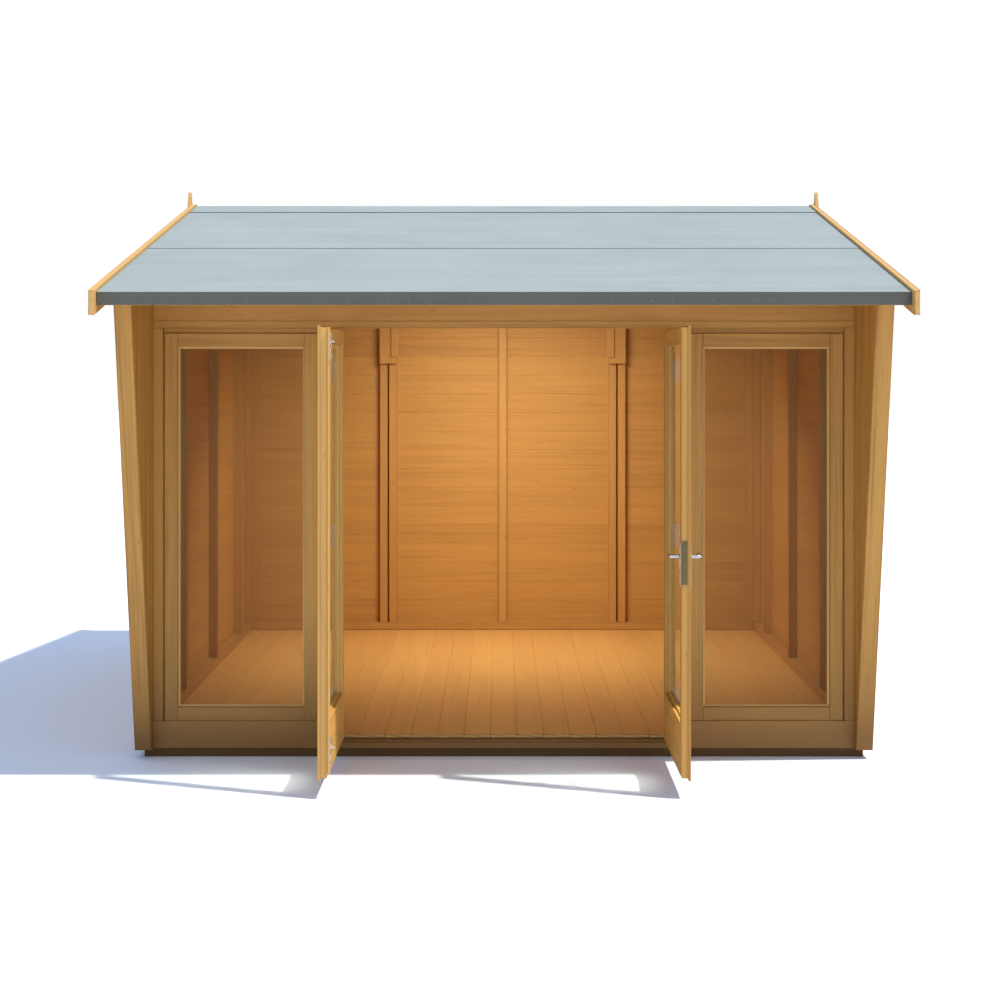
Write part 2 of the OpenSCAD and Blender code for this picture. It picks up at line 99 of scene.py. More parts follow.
def colour(name, description, default):
    """A colour property in linear light."""
    return FloatVectorProperty(
        name=name, description=description, default=default, subtype="COLOR", size=3, min=0, max=1
    )


def length(name, description, default):
    """A length property in metres."""
    return FloatProperty(
        name=name, description=description, default=default, min=0, unit="LENGTH", precision=4
    )


class SummerhouseSizes(bpy.types.PropertyGroup):
    """Sizes of what the makers add to the frame."""

    board_cover: length("Board cover", "Width that one wall or floor board covers", 0.108)
    board_groove: length("Board groove", "Depth of the V at each joint between boards", 0.0038)
    edge_round: length("Edge rounding", "Radius on the edges of planed timber", 0.0018)
    bead: length("Glazing bead", "Width of the beads that hold the glass", 0.009)
    nail_head: length("Nail head", "Radius of the heads of the cladding nails", 0.0028)
    clout_head: length("Clout head", "Radius of the felt's nail heads", 0.0038)
    clout_step: length("Clout spacing", "Distance between nails along a lap of felt", 0.075)
    screw_head: length("Screw head", "Radius of the screw heads in the fittings", 0.0035)
    seed: IntProperty(name="Seed", description="Picks the boards' tones and grain", default=7, min=0)


class SummerhouseColours(bpy.types.PropertyGroup):
    """Colours of the finishes."""

    board: colour("Boards", "Stained wall and roof boards", srgb(204, 151, 76))
    framing: colour("Framing", "Studs, rails and posts", srgb(204, 151, 78))
    # painted highlight: the left leaf is a paler copy of the joinery colour, standing for the sun on it
    leaf: colour("Left leaf", "Paler timber of the left door", srgb(226, 174, 92))
    joinery: colour("Joinery", "Doors and window frames", srgb(204, 152, 74))
    wing: colour("Wings", "Edge boards, linings and corner trims", srgb(200, 147, 70))
    trim: colour("Trim", "Barge boards and finials", srgb(218, 172, 100))
    floor: colour("Floor", "Floor boards", srgb(232, 180, 104))
    # darker than the framing: the bearers' treated timber, and partly painted shade near the ground
    base: colour("Base", "Treated bearers", srgb(150, 112, 58))
    felt: colour("Felt", "Mineral roofing felt", srgb(160, 167, 163))
    glass: colour("Glass", "Tint of the panes", (0.89, 0.95, 0.91))
    chrome: colour("Chrome", "Levers and lock plates", (0.50, 0.49, 0.47))
    lock: colour("Lock", "Bronzed edge plate and latch", (0.150, 0.112, 0.050))
    zinc: colour("Zinc", "Hinges, bolts, nails and screws", (0.56, 0.56, 0.54))


class SummerhouseStage(bpy.types.PropertyGroup):
    """Light and camera."""

    sun: FloatProperty(name="Sun", description="Strength of the key light", default=3.2, min=0)
    sky: FloatProperty(name="Sky", description="Strength of the soft light all round", default=0.84, min=0)
    room: FloatProperty(
        name="Room light", description="Power of the lamp inside", default=23, min=0, unit="POWER"
    )
    sun_height: FloatProperty(
        name="Sun height", description="Height of the key light", default=math.radians(61), subtype="ANGLE"
    )
    sun_turn: FloatProperty(
        name="Sun turn", description="Turn of the key light from +X towards the back",
        default=math.radians(-20), subtype="ANGLE",
    )
    lens: FloatProperty(name="Lens", description="Focal length in millimetres", default=62.2, min=1)


# ---------------------------------------------------------------- shapes

def sizes():
    return bpy.context.scene.summerhouse_sizes


def colours():
    return bpy.context.scene.summerhouse_colours


def node_mesh(node):
    """(corners, triangles) of a CAD node, with corners that coincide made one."""
    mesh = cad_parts[node].data
    points = np.empty(len(mesh.vertices) * 3)
    mesh.vertices.foreach_get("co", points)
    mesh.calc_loop_triangles()
    triangles = np.empty(len(mesh.loop_triangles) * 3, dtype=np.int64)
    mesh.loop_triangles.foreach_get("vertices", triangles)
    corners, index = np.unique(np.round(points.reshape(-1, 3), 5), axis=0, return_inverse=True)
    return corners, index.ravel()[triangles].reshape(-1, 3)


def solids(node):
    """The corners of each separate solid in a CAD node.

    Every corner starts with its own number, and each triangle hands its lowest number to its
    corners until nothing changes, so that corners with one number belong to one solid.
    """
    corners, triangles = node_mesh(node)
    label = np.arange(len(corners))
    while True:
        lowest = label[triangles].min(axis=1)
        new = label.copy()
        np.minimum.at(new, triangles.ravel(), np.repeat(lowest, 3))
        if (new == label).all():
            break
        label = new
    return [corners[label == value] for value in np.unique(label)]


def side_outline(points):
    """The outline of a solid seen from the side: its (y, z) corners in turn round their middle."""
    flat = np.unique(np.round(points[:, 1:], 5), axis=0)
    middle = flat.mean(axis=0)
    return flat[np.argsort(np.arctan2(flat[:, 1] - middle[1], flat[:, 0] - middle[0]))]


def quad(outline, x0, x1):
    """Four corners of a board's end from two (y, z) points and its two faces in x."""
    (y0, z0), (y1, z1) = outline
    return [(x0, y0, z0), (x1, y0, z0), (x1, y1, z1), (x0, y1, z1)]


def board_between(low_pair, high_pair, x0, x1):
    """A board that runs in the side view from one pair of (y, z) points to another."""
    return quad(low_pair, x0, x1), quad(high_pair, x0, x1)


def solid_board(points):
    """The two end quads of a straight solid with eight corners, along its longest way."""
    x0, x1 = points[:, X].min(), points[:, X].max()
    ring = side_outline(points)
    spans = np.linalg.norm(np.roll(ring, -1, axis=0) - ring, axis=1)
    if x1 - x0 >= spans.max():
        return [[(x, y, z) for y, z in ring] for x in (x0, x1)]
    a, b, c, d = np.roll(ring, -spans.argmax(), axis=0)
    return board_between((a, d), (b, c), x0, x1)


def box_board(low, high, along):
    """The two end quads of a box, with its grain along one axis."""
    low, high = np.asarray(low, float), np.asarray(high, float)
    u, v = [axis for axis in (X, Y, Z) if axis != along]
    ends = []
    for value in (low[along], high[along]):
        corners = np.empty((4, 3))
        corners[:, along] = value
        corners[:, u] = (low[u], high[u], high[u], low[u])
        corners[:, v] = (low[v], low[v], high[v], high[v])
        ends.append(corners)
    return ends


def facing_outwards(first, last):
    """Turns round the end quads of every board whose corners run the wrong way."""
    side = first[:, 1] - first[:, 0]
    up = first[:, 3] - first[:, 0]
    forward = last.mean(axis=1) - first.mean(axis=1)
    wrong = np.einsum("ij,ij->i", np.cross(side, up), forward) < 0
    first[wrong] = first[wrong][:, ::-1]
    last[wrong] = last[wrong][:, ::-1]
    return first, last


def tube_faces(count, rings, points):
    """Side quads and end caps of count closed tubes, each of so many rings of so many points."""
    ring = np.arange(points)
    after = np.roll(ring, -1)
    step = np.arange(rings - 1)[:, None] * points
    sides = np.stack([step + ring, step + after, step + points + after, step + points + ring], axis=-1)
    base = np.arange(count)[:, None] * rings * points
    quads = (sides.reshape(1, -1, 4) + base[..., None]).reshape(-1, 4)
    caps = np.concatenate([ring[::-1] + base, ring + (rings - 1) * points + base])
    return [quads, caps]


def board_arrays(ends, radii, rng, end_round=True, arc=2):
    """Vertices, faces and attributes of many boards at once.

    Each board blends its first end quad into its last. The profile is the unit square with each
    corner rounded to that corner's radius, and a place on it is the bilinear blend of the quad's
    corners. Near the ends the profile shrinks by the same radius, which rounds the end edges.
    """
    first, last = facing_outwards(*(np.array(quads, float) for quads in zip(*ends)))
    count = len(first)
    radii = np.broadcast_to(np.asarray(radii, float), (4,))
    wide = np.linalg.norm(first[:, 1] - first[:, 0], axis=1)
    thick = np.linalg.norm(first[:, 3] - first[:, 0], axis=1)
    long = np.linalg.norm(last.mean(axis=1) - first.mean(axis=1), axis=1)

    turn = np.linspace(0, math.pi / 2, arc + 1)
    signs = (0, 0), (1, 0), (1, 1), (0, 1)
    u_parts, v_parts = [], []
    for r, (su, sv) in zip(radii, signs):
        easing = turn if su == sv else turn[::-1]
        du = r * (1 - np.sin(easing)) / wide[:, None]
        dv = r * (1 - np.cos(easing)) / thick[:, None]
        u_parts.append(1 - du if su else du)
        v_parts.append(1 - dv if sv else dv)
    u = np.concatenate(u_parts, axis=1)
    v = np.concatenate(v_parts, axis=1)
    points = u.shape[1]

    r = radii.max() if end_round else 0.0
    insets = np.array([1, 0.3, 0, 0, 0.3, 1]) * r
    steps = np.array([0, 0.3, 1, -1, -0.3, 0]) * r
    s = np.where(np.arange(6) < 3, 0, 1)[None] + steps[None] / long[:, None]
    if not end_round:
        insets, s = np.zeros(2), np.tile([0.0, 1.0], (count, 1))
    rings = len(insets)
    shrink_u = 1 - 2 * insets[None] / wide[:, None]
    shrink_v = 1 - 2 * insets[None] / thick[:, None]
    uu = 0.5 + (u[:, None] - 0.5) * shrink_u[..., None]
    vv = 0.5 + (v[:, None] - 0.5) * shrink_v[..., None]

    def bilinear(corners):
        c = corners[:, None, None]
        a, b = uu[..., None], vv[..., None]
        return (
            (1 - a) * (1 - b) * c[..., 0, :] + a * (1 - b) * c[..., 1, :]
            + a * b * c[..., 2, :] + (1 - a) * b * c[..., 3, :]
        )

    blend = s[..., None, None]
    vertices = (1 - blend) * bilinear(first) + blend * bilinear(last)

    start = rng.uniform(-40, 40, (count, 1, 1, 3))
    run = np.broadcast_to(s[..., None] * long[:, None, None], uu.shape)
    grain = np.stack([run, uu * wide[:, None, None], vv * thick[:, None, None]], axis=-1) + start
    tone = np.broadcast_to(rng.uniform(-1, 1, (count, 1, 1)), uu.shape)

    return vertices.reshape(-1, 3), tube_faces(count, rings, points), grain.reshape(-1, 3), tone.ravel()


def turned(faces):
    """The same faces the other way out."""
    return [group[:, ::-1] for group in faces]


def new_piece(name, arrays, look, body=HOUSE, replaced=(), smooth=False):
    """A mesh object that rides on a body and stands for CAD nodes.

    arrays holds the corners and the groups of faces, then the grain and tone of each corner if
    its finish reads them.
    """
    vertices, face_groups, *attributes = arrays
    if not len(vertices):
        raise RuntimeError(f"{name} has no corners: the node it follows is empty")
    mesh = bpy.data.meshes.new(name)
    loops = np.concatenate([group.ravel() for group in face_groups]).astype(np.int32)
    totals = np.concatenate([np.full(len(group), group.shape[1]) for group in face_groups]).astype(np.int32)
    starts = np.concatenate([[0], np.cumsum(totals)[:-1]]).astype(np.int32)
    mesh.vertices.add(len(vertices))
    mesh.vertices.foreach_set("co", np.asarray(vertices, np.float32).ravel())
    mesh.loops.add(len(loops))
    mesh.loops.foreach_set("vertex_index", loops)
    mesh.polygons.add(len(totals))
    mesh.polygons.foreach_set("loop_start", starts)
    mesh.polygons.foreach_set("use_smooth", np.full(len(totals), smooth))
    mesh.update(calc_edges=True)
    if attributes:
        grain, tone = (np.asarray(values, np.float32).ravel() for values in attributes)
        mesh.attributes.new("grain", "FLOAT_VECTOR", "POINT").data.foreach_set("vector", grain)
        mesh.attributes.new("tone", "FLOAT", "POINT").data.foreach_set("value", tone)
    mesh.validate()
    mesh.materials.append(finish(look))
    piece = bpy.data.objects.new(name, mesh)
    bpy.context.scene.collection.objects.link(piece)
    if replaced:
        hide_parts(*replaced)
    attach(piece, body)
    return piece


def timber(name, ends, look, body=HOUSE, replaced=(), radii=None, arc=2, end_round=True):
    """A piece made of straight boards, given by their end quads."""
    rng = np.random.default_rng(sizes().seed + sum(map(ord, name)))
    radii = sizes().edge_round if radii is None else radii
    return new_piece(name, board_arrays(ends, radii, rng, end_round, arc), look, body, replaced)


def chain(points, front):
    """(heights, ys) up the front or back edge of a side outline, to its highest point."""
    ring = side_outline(points)
    top = ring[ring[:, 1].argmax()]
    keep = ring[(ring[:, 0] < top[0]) if front else (ring[:, 0] > top[0])]
    keep = np.vstack([keep[np.argsort(keep[:, 1])], top])
    return keep[:, 1], keep[:, 0]


def clad_profile(x_out, x_in, edges, groove, back_groove, steps=8):
    """(x, z) round each board of a wall, boards by points, with a V at both outer edges."""
    low, high = edges[:-1, None], edges[1:, None]
    sign = np.sign(x_in - x_out)
    share = np.linspace(0, 1, steps)[None]
    out_z = low + groove + (high - low - 2 * groove) * share
    in_z = high - back_groove - (high - low - 2 * back_groove) * share
    ones = np.ones_like(low)
    xs = [
        (x_out + sign * groove) * ones, np.full_like(out_z, x_out), (x_out + sign * groove) * ones,
        (x_in - sign * back_groove) * ones, np.full_like(in_z, x_in), (x_in - sign * back_groove) * ones,
    ]
    zs = [low, out_z, high, high, in_z, low]
    return np.concatenate(xs, axis=1), np.concatenate(zs, axis=1)


def clad_wall(x_out, x_in, edges, start, end, swap, rng):
    """Arrays of a wall's boards.

    Board by board, the closed profile is carried along the wall from start(z) to end(z), so the
    ends follow the wall's outline. With swap the wall runs along X instead of along Y.
    """
    groove = sizes().board_groove
    px, pz = clad_profile(x_out, x_in, edges, groove, groove * 0.35)
    count, points = px.shape
    along = np.stack([start(pz), end(pz)], axis=1)
    depth = np.repeat(px[:, None], 2, axis=1)
    height = np.repeat(pz[:, None], 2, axis=1)
    vertices = np.stack([along, depth, height] if swap else [depth, along, height], axis=-1)
    offset = rng.uniform(-40, 40, (count, 1, 1, 3))
    grain = np.stack([along, height, depth], axis=-1) + offset
    tone = np.broadcast_to(rng.uniform(-1, 1, (count, 1, 1)), along.shape)
    faces = tube_faces(count, 2, points)
    if (x_in > x_out) == swap:
        faces = turned(faces)
    return vertices.reshape(-1, 3), faces, grain.reshape(-1, 3), tone.ravel()


def domes(centres, outward, radius, height, sides):
    """Arrays of many low round heads: a rim, a smaller ring above it and a flat top.

    Each head's rim is the circle of that radius about its centre, square to its outward way.
    """
    outward = outward / np.linalg.norm(outward, axis=1, keepdims=True)
    helper = np.where(np.abs(outward[:, 2:3]) > 0.9, [[1.0, 0, 0]], [[0, 0, 1.0]])
    u = np.cross(helper, outward)
    u /= np.linalg.norm(u, axis=1, keepdims=True)
    v = np.cross(outward, u)
    angle = (np.arange(sides) * 2 * math.pi / sides)[None, :, None]
    circle = np.cos(angle) * u[:, None] + np.sin(angle) * v[:, None]
    rings = [
        centres[:, None] + circle * radius * share + outward[:, None] * lift
        for share, lift in ((1, -SUNK), (1, height * 0.45), (0.6, height))
    ]
    return np.stack(rings, axis=1).reshape(-1, 3), tube_faces(len(centres), 3, sides)


def heads(name, centres, outward, radius, height=NAIL_LIFT, look="zinc_steel", body=HOUSE, sides=8):
    """A piece of many nail or screw heads."""
    arrays = domes(np.vstack(centres), np.vstack(outward), radius, height, sides)
    return new_piece(name, arrays, look, body)


def frame_ring(low, high, profile, thin):
    """A closed bead round a rectangle.

    The rectangle lies square to the thin axis. Each profile point (a, b) moves every corner a
    inwards along both sides, which mitres the corners, and sits at b along the thin axis.
    """
    u, v = [axis for axis in (X, Y, Z) if axis != thin]
    profile = np.asarray(profile, float)
    corner_u = np.array([low[u], high[u], high[u], low[u]])
    corner_v = np.array([low[v], low[v], high[v], high[v]])
    inward_u = np.array([1, -1, -1, 1])
    inward_v = np.array([1, 1, -1, -1])
    vertices = np.empty((4, len(profile), 3))
    vertices[..., u] = corner_u[:, None] + inward_u[:, None] * profile[:, 0]
    vertices[..., v] = corner_v[:, None] + inward_v[:, None] * profile[:, 0]
    vertices[..., thin] = profile[:, 1]
    # each side of the ring has its own corners, so that its grain runs along it
    strips = np.stack([vertices, np.roll(vertices, -1, axis=0)], axis=1)
    orders = ([u, v, thin], [v, u, thin]) * 2
    grain = [strip[..., order] + 3.7 * k for k, (strip, order) in enumerate(zip(strips, orders))]
    strips = strips.reshape(-1, 3)
    return strips, tube_faces(4, 2, len(profile)), np.reshape(grain, (-1, 3)), np.zeros(len(strips))


def outward_tube(grid):
    """(corners, faces) of one closed tube from its rings of points, with its faces outwards.

    Each side quad with the origin makes two pyramids, and their volumes add up to less than
    nothing where the faces point inwards.
    """
    vertices = grid.reshape(-1, 3)
    faces = tube_faces(1, *grid.shape[:2])
    a, b, c, d = (vertices[faces[0][:, i]] for i in range(4))
    volume = np.einsum("ij,ij->", a, np.cross(b, c)) + np.einsum("ij,ij->", a, np.cross(c, d))
    return vertices, faces if volume > 0 else turned(faces)


# ---------------------------------------------------------------- finishes

class Nodes:
    """A short way to lay out the nodes of a material or a world."""

    def __init__(self, owner, output="ShaderNodeOutputMaterial"):
        owner.use_nodes = True
        self.owner = owner
        self.tree = owner.node_tree
        self.tree.nodes.clear()
        self.output = self.add(output)

    def add(self, kind, inputs=None, **settings):
        """A node with its settings, and with values or links in its inputs."""
        node = self.tree.nodes.new(kind)
        for key, value in settings.items():
            setattr(node, key, value)
        for key, value in (inputs or {}).items():
            self.feed(node.inputs[key], value)
        return node

    def feed(self, socket, value):
        """Links an output to a socket, or sets the socket to a number, a vector or a colour."""
        if isinstance(value, bpy.types.NodeSocket):
            self.tree.links.new(value, socket)
        elif socket.type == "RGBA":
            socket.default_value = (*value, 1)
        else:
            socket.default_value = value

    def done(self, shader):
        """Sends a shader to the output, and gives back what the nodes belong to."""
        self.feed(self.output.inputs["Surface"], shader.outputs[0])
        return self.owner

    def place(self):
        return self.add("ShaderNodeTexCoord").outputs["Object"]

    def maths(self, operation, a, b, clamp=False):
        return self.add("ShaderNodeMath", {0: a, 1: b}, operation=operation, use_clamp=clamp).outputs[0]

    def blend(self, a, b, share=0.5):
        """a and b added, each times its share."""
        return self.maths("ADD", self.maths("MULTIPLY", a, share), self.maths("MULTIPLY", b, 1 - share))

    def noise(self, vector, scale, detail=4, roughness=0.5, distortion=0.0):
        inputs = {
            "Vector": vector, "Scale": scale, "Detail": detail, "Roughness": roughness,
            "Distortion": distortion,
        }
        return self.add("ShaderNodeTexNoise", inputs).outputs["Fac"]

    def stretched(self, vector, scale):
        return self.add("ShaderNodeMapping", {"Vector": vector, "Scale": scale}).outputs["Vector"]

    def ramp(self, factor, stops):
        node = self.add("ShaderNodeValToRGB", {"Fac": factor})
        elements = node.color_ramp.elements
        while len(elements) < len(stops):
            elements.new(0.5)
        for element, (place, value) in zip(elements, stops):
            element.position = place
            element.color = (*value, 1)
        return node.outputs["Color"]

    def mix(self, factor, a, b):
        return self.add("ShaderNodeMix", {0: factor, 6: a, 7: b}, data_type="RGBA").outputs[2]

    def bump(self, height, strength, distance):
        inputs = {"Height": height, "Strength": strength, "Distance": distance}
        return self.add("ShaderNodeBump", inputs).outputs["Normal"]

    def surface(self, base, roughness, **inputs):
        """A principled shader of that colour and roughness."""
        named = {key.replace("_", " "): value for key, value in inputs.items()}
        return self.add("ShaderNodeBsdfPrincipled", {"Base Color": base, "Roughness": roughness, **named})


def tinted(rgb, *shares):
    """A colour times one share, or times a share for each channel, held at 1."""
    return tuple(min(1.0, c * share) for c, share in zip(rgb, shares if len(shares) > 1 else shares * 3))


def timber_finish(name, rgb, contrast, roughness, ground_shade=None):
    """Stained softwood: long bands and fine fibres along the grain, a few knots, one tone a board.

    The last argument is (amount, height, fade): below that height the timber darkens over the fade, a
    painted shade near the ground.
    """
    n = Nodes(bpy.data.materials.new(name))
    grain = n.add("ShaderNodeAttribute", attribute_name="grain").outputs["Vector"]
    tone = n.add("ShaderNodeAttribute", attribute_name="tone").outputs["Fac"]
    bands = n.noise(n.stretched(grain, (0.9, 16, 16)), 1.0, 3, 0.55, 0.9)
    rings = n.noise(n.stretched(grain, (1.6, 75, 75)), 1.0, 4, 0.6, 0.4)
    fibres = n.noise(n.stretched(grain, (14, 620, 620)), 1.0, 3, 0.65)
    knots = n.add(
        "ShaderNodeTexVoronoi", {"Vector": n.stretched(grain, (1.5, 6.5, 6.5))},
        feature="SMOOTH_F1", voronoi_dimensions="3D",
    )
    knots.inputs["Smoothness"].default_value = 0.2
    fading = [(0.0, (1, 1, 1)), (0.05, (0.75, 0.75, 0.75)), (0.12, (0, 0, 0))]
    knot = n.ramp(knots.outputs["Distance"], fading)
    spread = 0.16 / contrast
    base = n.ramp(n.blend(bands, rings), [
        (0.5 - spread, tinted(rgb, 1 - 0.26 * contrast)),
        (0.5, rgb),
        (0.5 + spread, tinted(rgb, 1 + 0.13 * contrast)),
    ])
    fine = n.mix(n.maths("MULTIPLY", fibres, 0.3 + 0.2 * contrast), base, tinted(rgb, 0.64, 0.544, 0.44))
    toned = n.mix(
        n.maths("ADD", n.maths("MULTIPLY", tone, 0.5), 0.5, clamp=True),
        n.mix(0.16, fine, tinted(rgb, 0.72, 0.62, 0.5)),
        n.mix(0.12, fine, tinted(rgb, 1.12, 1.12, 1.1)),
    )
    result = n.mix(n.maths("MULTIPLY", knot, 0.5), toned, tinted(rgb, 0.42, 0.3, 0.22))
    # painted shade: the colour darkens towards the ground, where less light reaches
    if ground_shade:
        amount, top, fade = ground_shade
        height = n.add("ShaderNodeSeparateXYZ", {"Vector": n.place()}).outputs["Z"]
        near = n.maths("MULTIPLY", n.maths("SUBTRACT", top, height), 1 / fade, clamp=True)
        soft = n.maths("MULTIPLY", n.maths("MULTIPLY", near, near), amount, clamp=True)
        result = n.mix(soft, result, tinted(rgb, 0.40, 0.36, 0.34))
    rough = n.maths("ADD", n.maths("MULTIPLY", fibres, 0.16), roughness - 0.08)
    bump = n.bump(n.blend(fibres, rings), 0.35, 0.0012)
    return n.done(n.surface(result, rough, Normal=bump, Specular_IOR_Level=0.35))


def felt_finish(name, rgb):
    """Mineral felt: crushed grains a millimetre or two across, with faint rolled streaks and blotches."""
    n = Nodes(bpy.data.materials.new(name))
    place = n.place()
    grains = n.add("ShaderNodeTexVoronoi", {"Vector": place, "Scale": 620})
    shades = [(0.0, tinted(rgb, 0.72)), (0.5, rgb), (1.0, tinted(rgb, 1.28))]
    specks = n.ramp(grains.outputs["Color"], shades)
    patches = n.noise(n.stretched(place, (1.0, 1.5, 1.5)), 2.2, 4, 0.55, 0.3)
    streaks = n.noise(n.stretched(place, (0.7, 22, 22)), 1.0, 3, 0.5)
    shade = n.blend(patches, streaks, 0.6)
    aged = n.ramp(shade, [(0.36, tinted(rgb, 0.855, 0.874, 0.8835)), (0.62, tinted(rgb, 1.06))])
    height = n.maths("ADD", grains.outputs["Distance"], n.maths("MULTIPLY", patches, 0.6))
    bump = n.bump(height, 0.45, 0.001)
    return n.done(n.surface(n.mix(0.35, aged, specks), 0.88, Normal=bump, Specular_IOR_Level=0.25))


def glass_finish(name, rgb):
    """Flat glass that lets the light's shadow rays through, with a faint dusting in patches."""
    n = Nodes(bpy.data.materials.new(name))
    dust = n.ramp(n.noise(n.place(), 1.7, 3, 0.5), [(0.35, rgb), (0.75, tinted(rgb, 0.97))])
    pane = n.surface(dust, 0.0, Transmission_Weight=1.0, IOR=1.14)
    clear = n.add("ShaderNodeBsdfTransparent", {"Color": tinted(rgb, 1.02)})
    shadow = n.add("ShaderNodeLightPath").outputs["Is Shadow Ray"]
    return n.done(n.add("ShaderNodeMixShader", {0: shadow, 1: pane.outputs[0], 2: clear.outputs[0]}))


def metal_finish(name, rgb, roughness, grime):
    """Plated metal with fine rubbing marks and a little dulling in patches."""
    n = Nodes(bpy.data.materials.new(name))
    place = n.place()
    marks = n.noise(n.stretched(place, (900, 900, 90)), 1.0, 2, 0.6)
    patches = n.noise(place, 38, 4, 0.6)
    dull = n.ramp(patches, [(0.42, (0, 0, 0)), (0.72, (1, 1, 1))])
    tint = n.mix(n.maths("MULTIPLY", dull, grime), rgb, tinted(rgb, 0.55))
    rough = n.maths("ADD", n.maths("MULTIPLY", marks, 0.14), n.maths("MULTIPLY", patches, roughness))
    return n.done(n.surface(tint, rough, Metallic=1.0, Normal=n.bump(marks, 0.12, 0.0003)))


# painted shade near the ground: how dark timber gets, below what height, over what fade
FRONT_GROUND_SHADE = (1.2, 0.8, 0.78)
BASE_GROUND_SHADE = (1.15, 0.056, 0.02)

# for each finish: its maker, its material's name, its colour and that colour's shares, the rest
FINISHES = {
    # painted highlight: a paler copy of the joinery for the sunlit left leaf
    "leaf_timber": (timber_finish, "pale_leaf_timber", "leaf", [1], 0.85, 0.52),
    "board_timber": (timber_finish, "stained_boards", "board", [1], 0.85, 0.62),
    "wing_timber": (timber_finish, "stained_wing_boards", "wing", [1], 1.5, 0.6, FRONT_GROUND_SHADE),
    "framing_timber": (timber_finish, "planed_framing", "framing", [1], 0.75, 0.62),
    "joinery_timber": (timber_finish, "planed_joinery", "joinery", [1], 0.95, 0.52),
    "front_timber": (timber_finish, "front_posts_timber", "joinery", [1], 1.15, 0.55, FRONT_GROUND_SHADE),
    "trim_timber": (timber_finish, "pale_trim_timber", "trim", [1], 0.7, 0.58),
    "floor_timber": (timber_finish, "planed_floor", "floor", [1], 0.6, 0.5),
    "base_timber": (timber_finish, "treated_base", "base", [1], 1.2, 0.75, BASE_GROUND_SHADE),
    "felt": (felt_finish, "mineral_felt", "felt", [1]),
    # painted shade: the upright folds face away from the sun, so their felt is darker
    "felt_fold": (felt_finish, "worn_felt_fold", "felt", [0.33, 0.29, 0.24]),
    # near black: the bitumen of each cut edge, and a painted shadow line along the laps
    "felt_edge": (felt_finish, "bitumen_cut_edge", "felt", [0.08]),
    "glass": (glass_finish, "flat_glass", "glass", [1]),
    "satin_chrome": (metal_finish, "satin_chrome_plate", "chrome", [1], 0.22, 0.15),
    "lock_bronze": (metal_finish, "bronzed_lock_steel", "lock", [1], 0.5, 0.3),
    "dark_steel": (metal_finish, "dark_lock_steel", "zinc", [0.3], 0.5, 0.3),
    "hinge_steel": (metal_finish, "dull_hinge_steel", "zinc", [0.42], 0.6, 0.4),
    "zinc_steel": (metal_finish, "zinc_plated_steel", "zinc", [1], 0.5, 0.3),
    "dull_zinc": (metal_finish, "weathered_zinc", "zinc", [0.8], 0.9, 0.4),
}
MADE = {}


def finish(look):
    """The material of a finish, made once."""
    if look not in MADE:
        maker, name, key, shares, *rest = FINISHES[look]
        MADE[look] = maker(name, tinted(getattr(colours(), key), *shares), *rest)
    return MADE[look]


def dress(node, look):
    """Puts a finish on a CAD node that stays as it is."""
    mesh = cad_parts[node].data
    mesh.materials.clear()
    mesh.materials.append(finish(look))


# ---------------------------------------------------------------- parts of the house

def roof_slope():
    """Rise over run of the roof boards, from the lower corners of the front deck."""
    ring = side_outline(node_mesh("roof_boards_front")[0])
    eave = ring[np.lexsort((ring[:, 1], ring[:, 0]))][0]
    ridge = ring[np.lexsort((ring[:, 1], -ring[:, 0]))][0]
    return (ridge[1] - eave[1]) / abs(eave[0] - ridge[0])


def board_edges(low, high, cover):
    """Heights of the joints between boards of that cover, from low to high."""
    return np.append(np.arange(low, high - cover * 0.25, cover), high)


def clad_piece(node, outer, inner, top_gap, ends, swap, seed):
    """The boards of one clad wall in place of its CAD slab."""
    low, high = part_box(node)
    edges = board_edges(low[Z], high[Z] - top_gap, sizes().board_cover)
    rng = np.random.default_rng(sizes().seed + seed)
    arrays = clad_wall(outer, inner, edges, *ends, swap, rng)
    name = node.replace("cladding", "boards")
    return new_piece(name, arrays, "board_timber", HOUSE, (node,))


def side_wall(node):
    """The boards of a side wall, cut to its raked front and its gable."""
    low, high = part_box(node)
    outer, inner = (low[X], high[X]) if high[X] < 0 else (high[X], low[X])
    front, back = (chain(solids(node)[0], at_front) for at_front in (True, False))
    ends = (lambda z: np.interp(z, *front)), (lambda z: np.interp(z, *back))
    return clad_piece(node, outer, inner, 0.002, ends, False, len(node))


def back_wall(node):
    """The boards of the back wall, all of one length."""
    low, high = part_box(node)
    ends = (lambda z: np.full_like(z, low[X])), (lambda z: np.full_like(z, high[X]))
    return clad_piece(node, high[Y], low[Y], 0.003, ends, True, 5)


def nail_heights(bottom, top):
    """Two heights for each board between the bottom and the top of a stud."""
    return np.concatenate([np.arange(bottom + lift, top, sizes().board_cover) for lift in NAIL_ROWS])


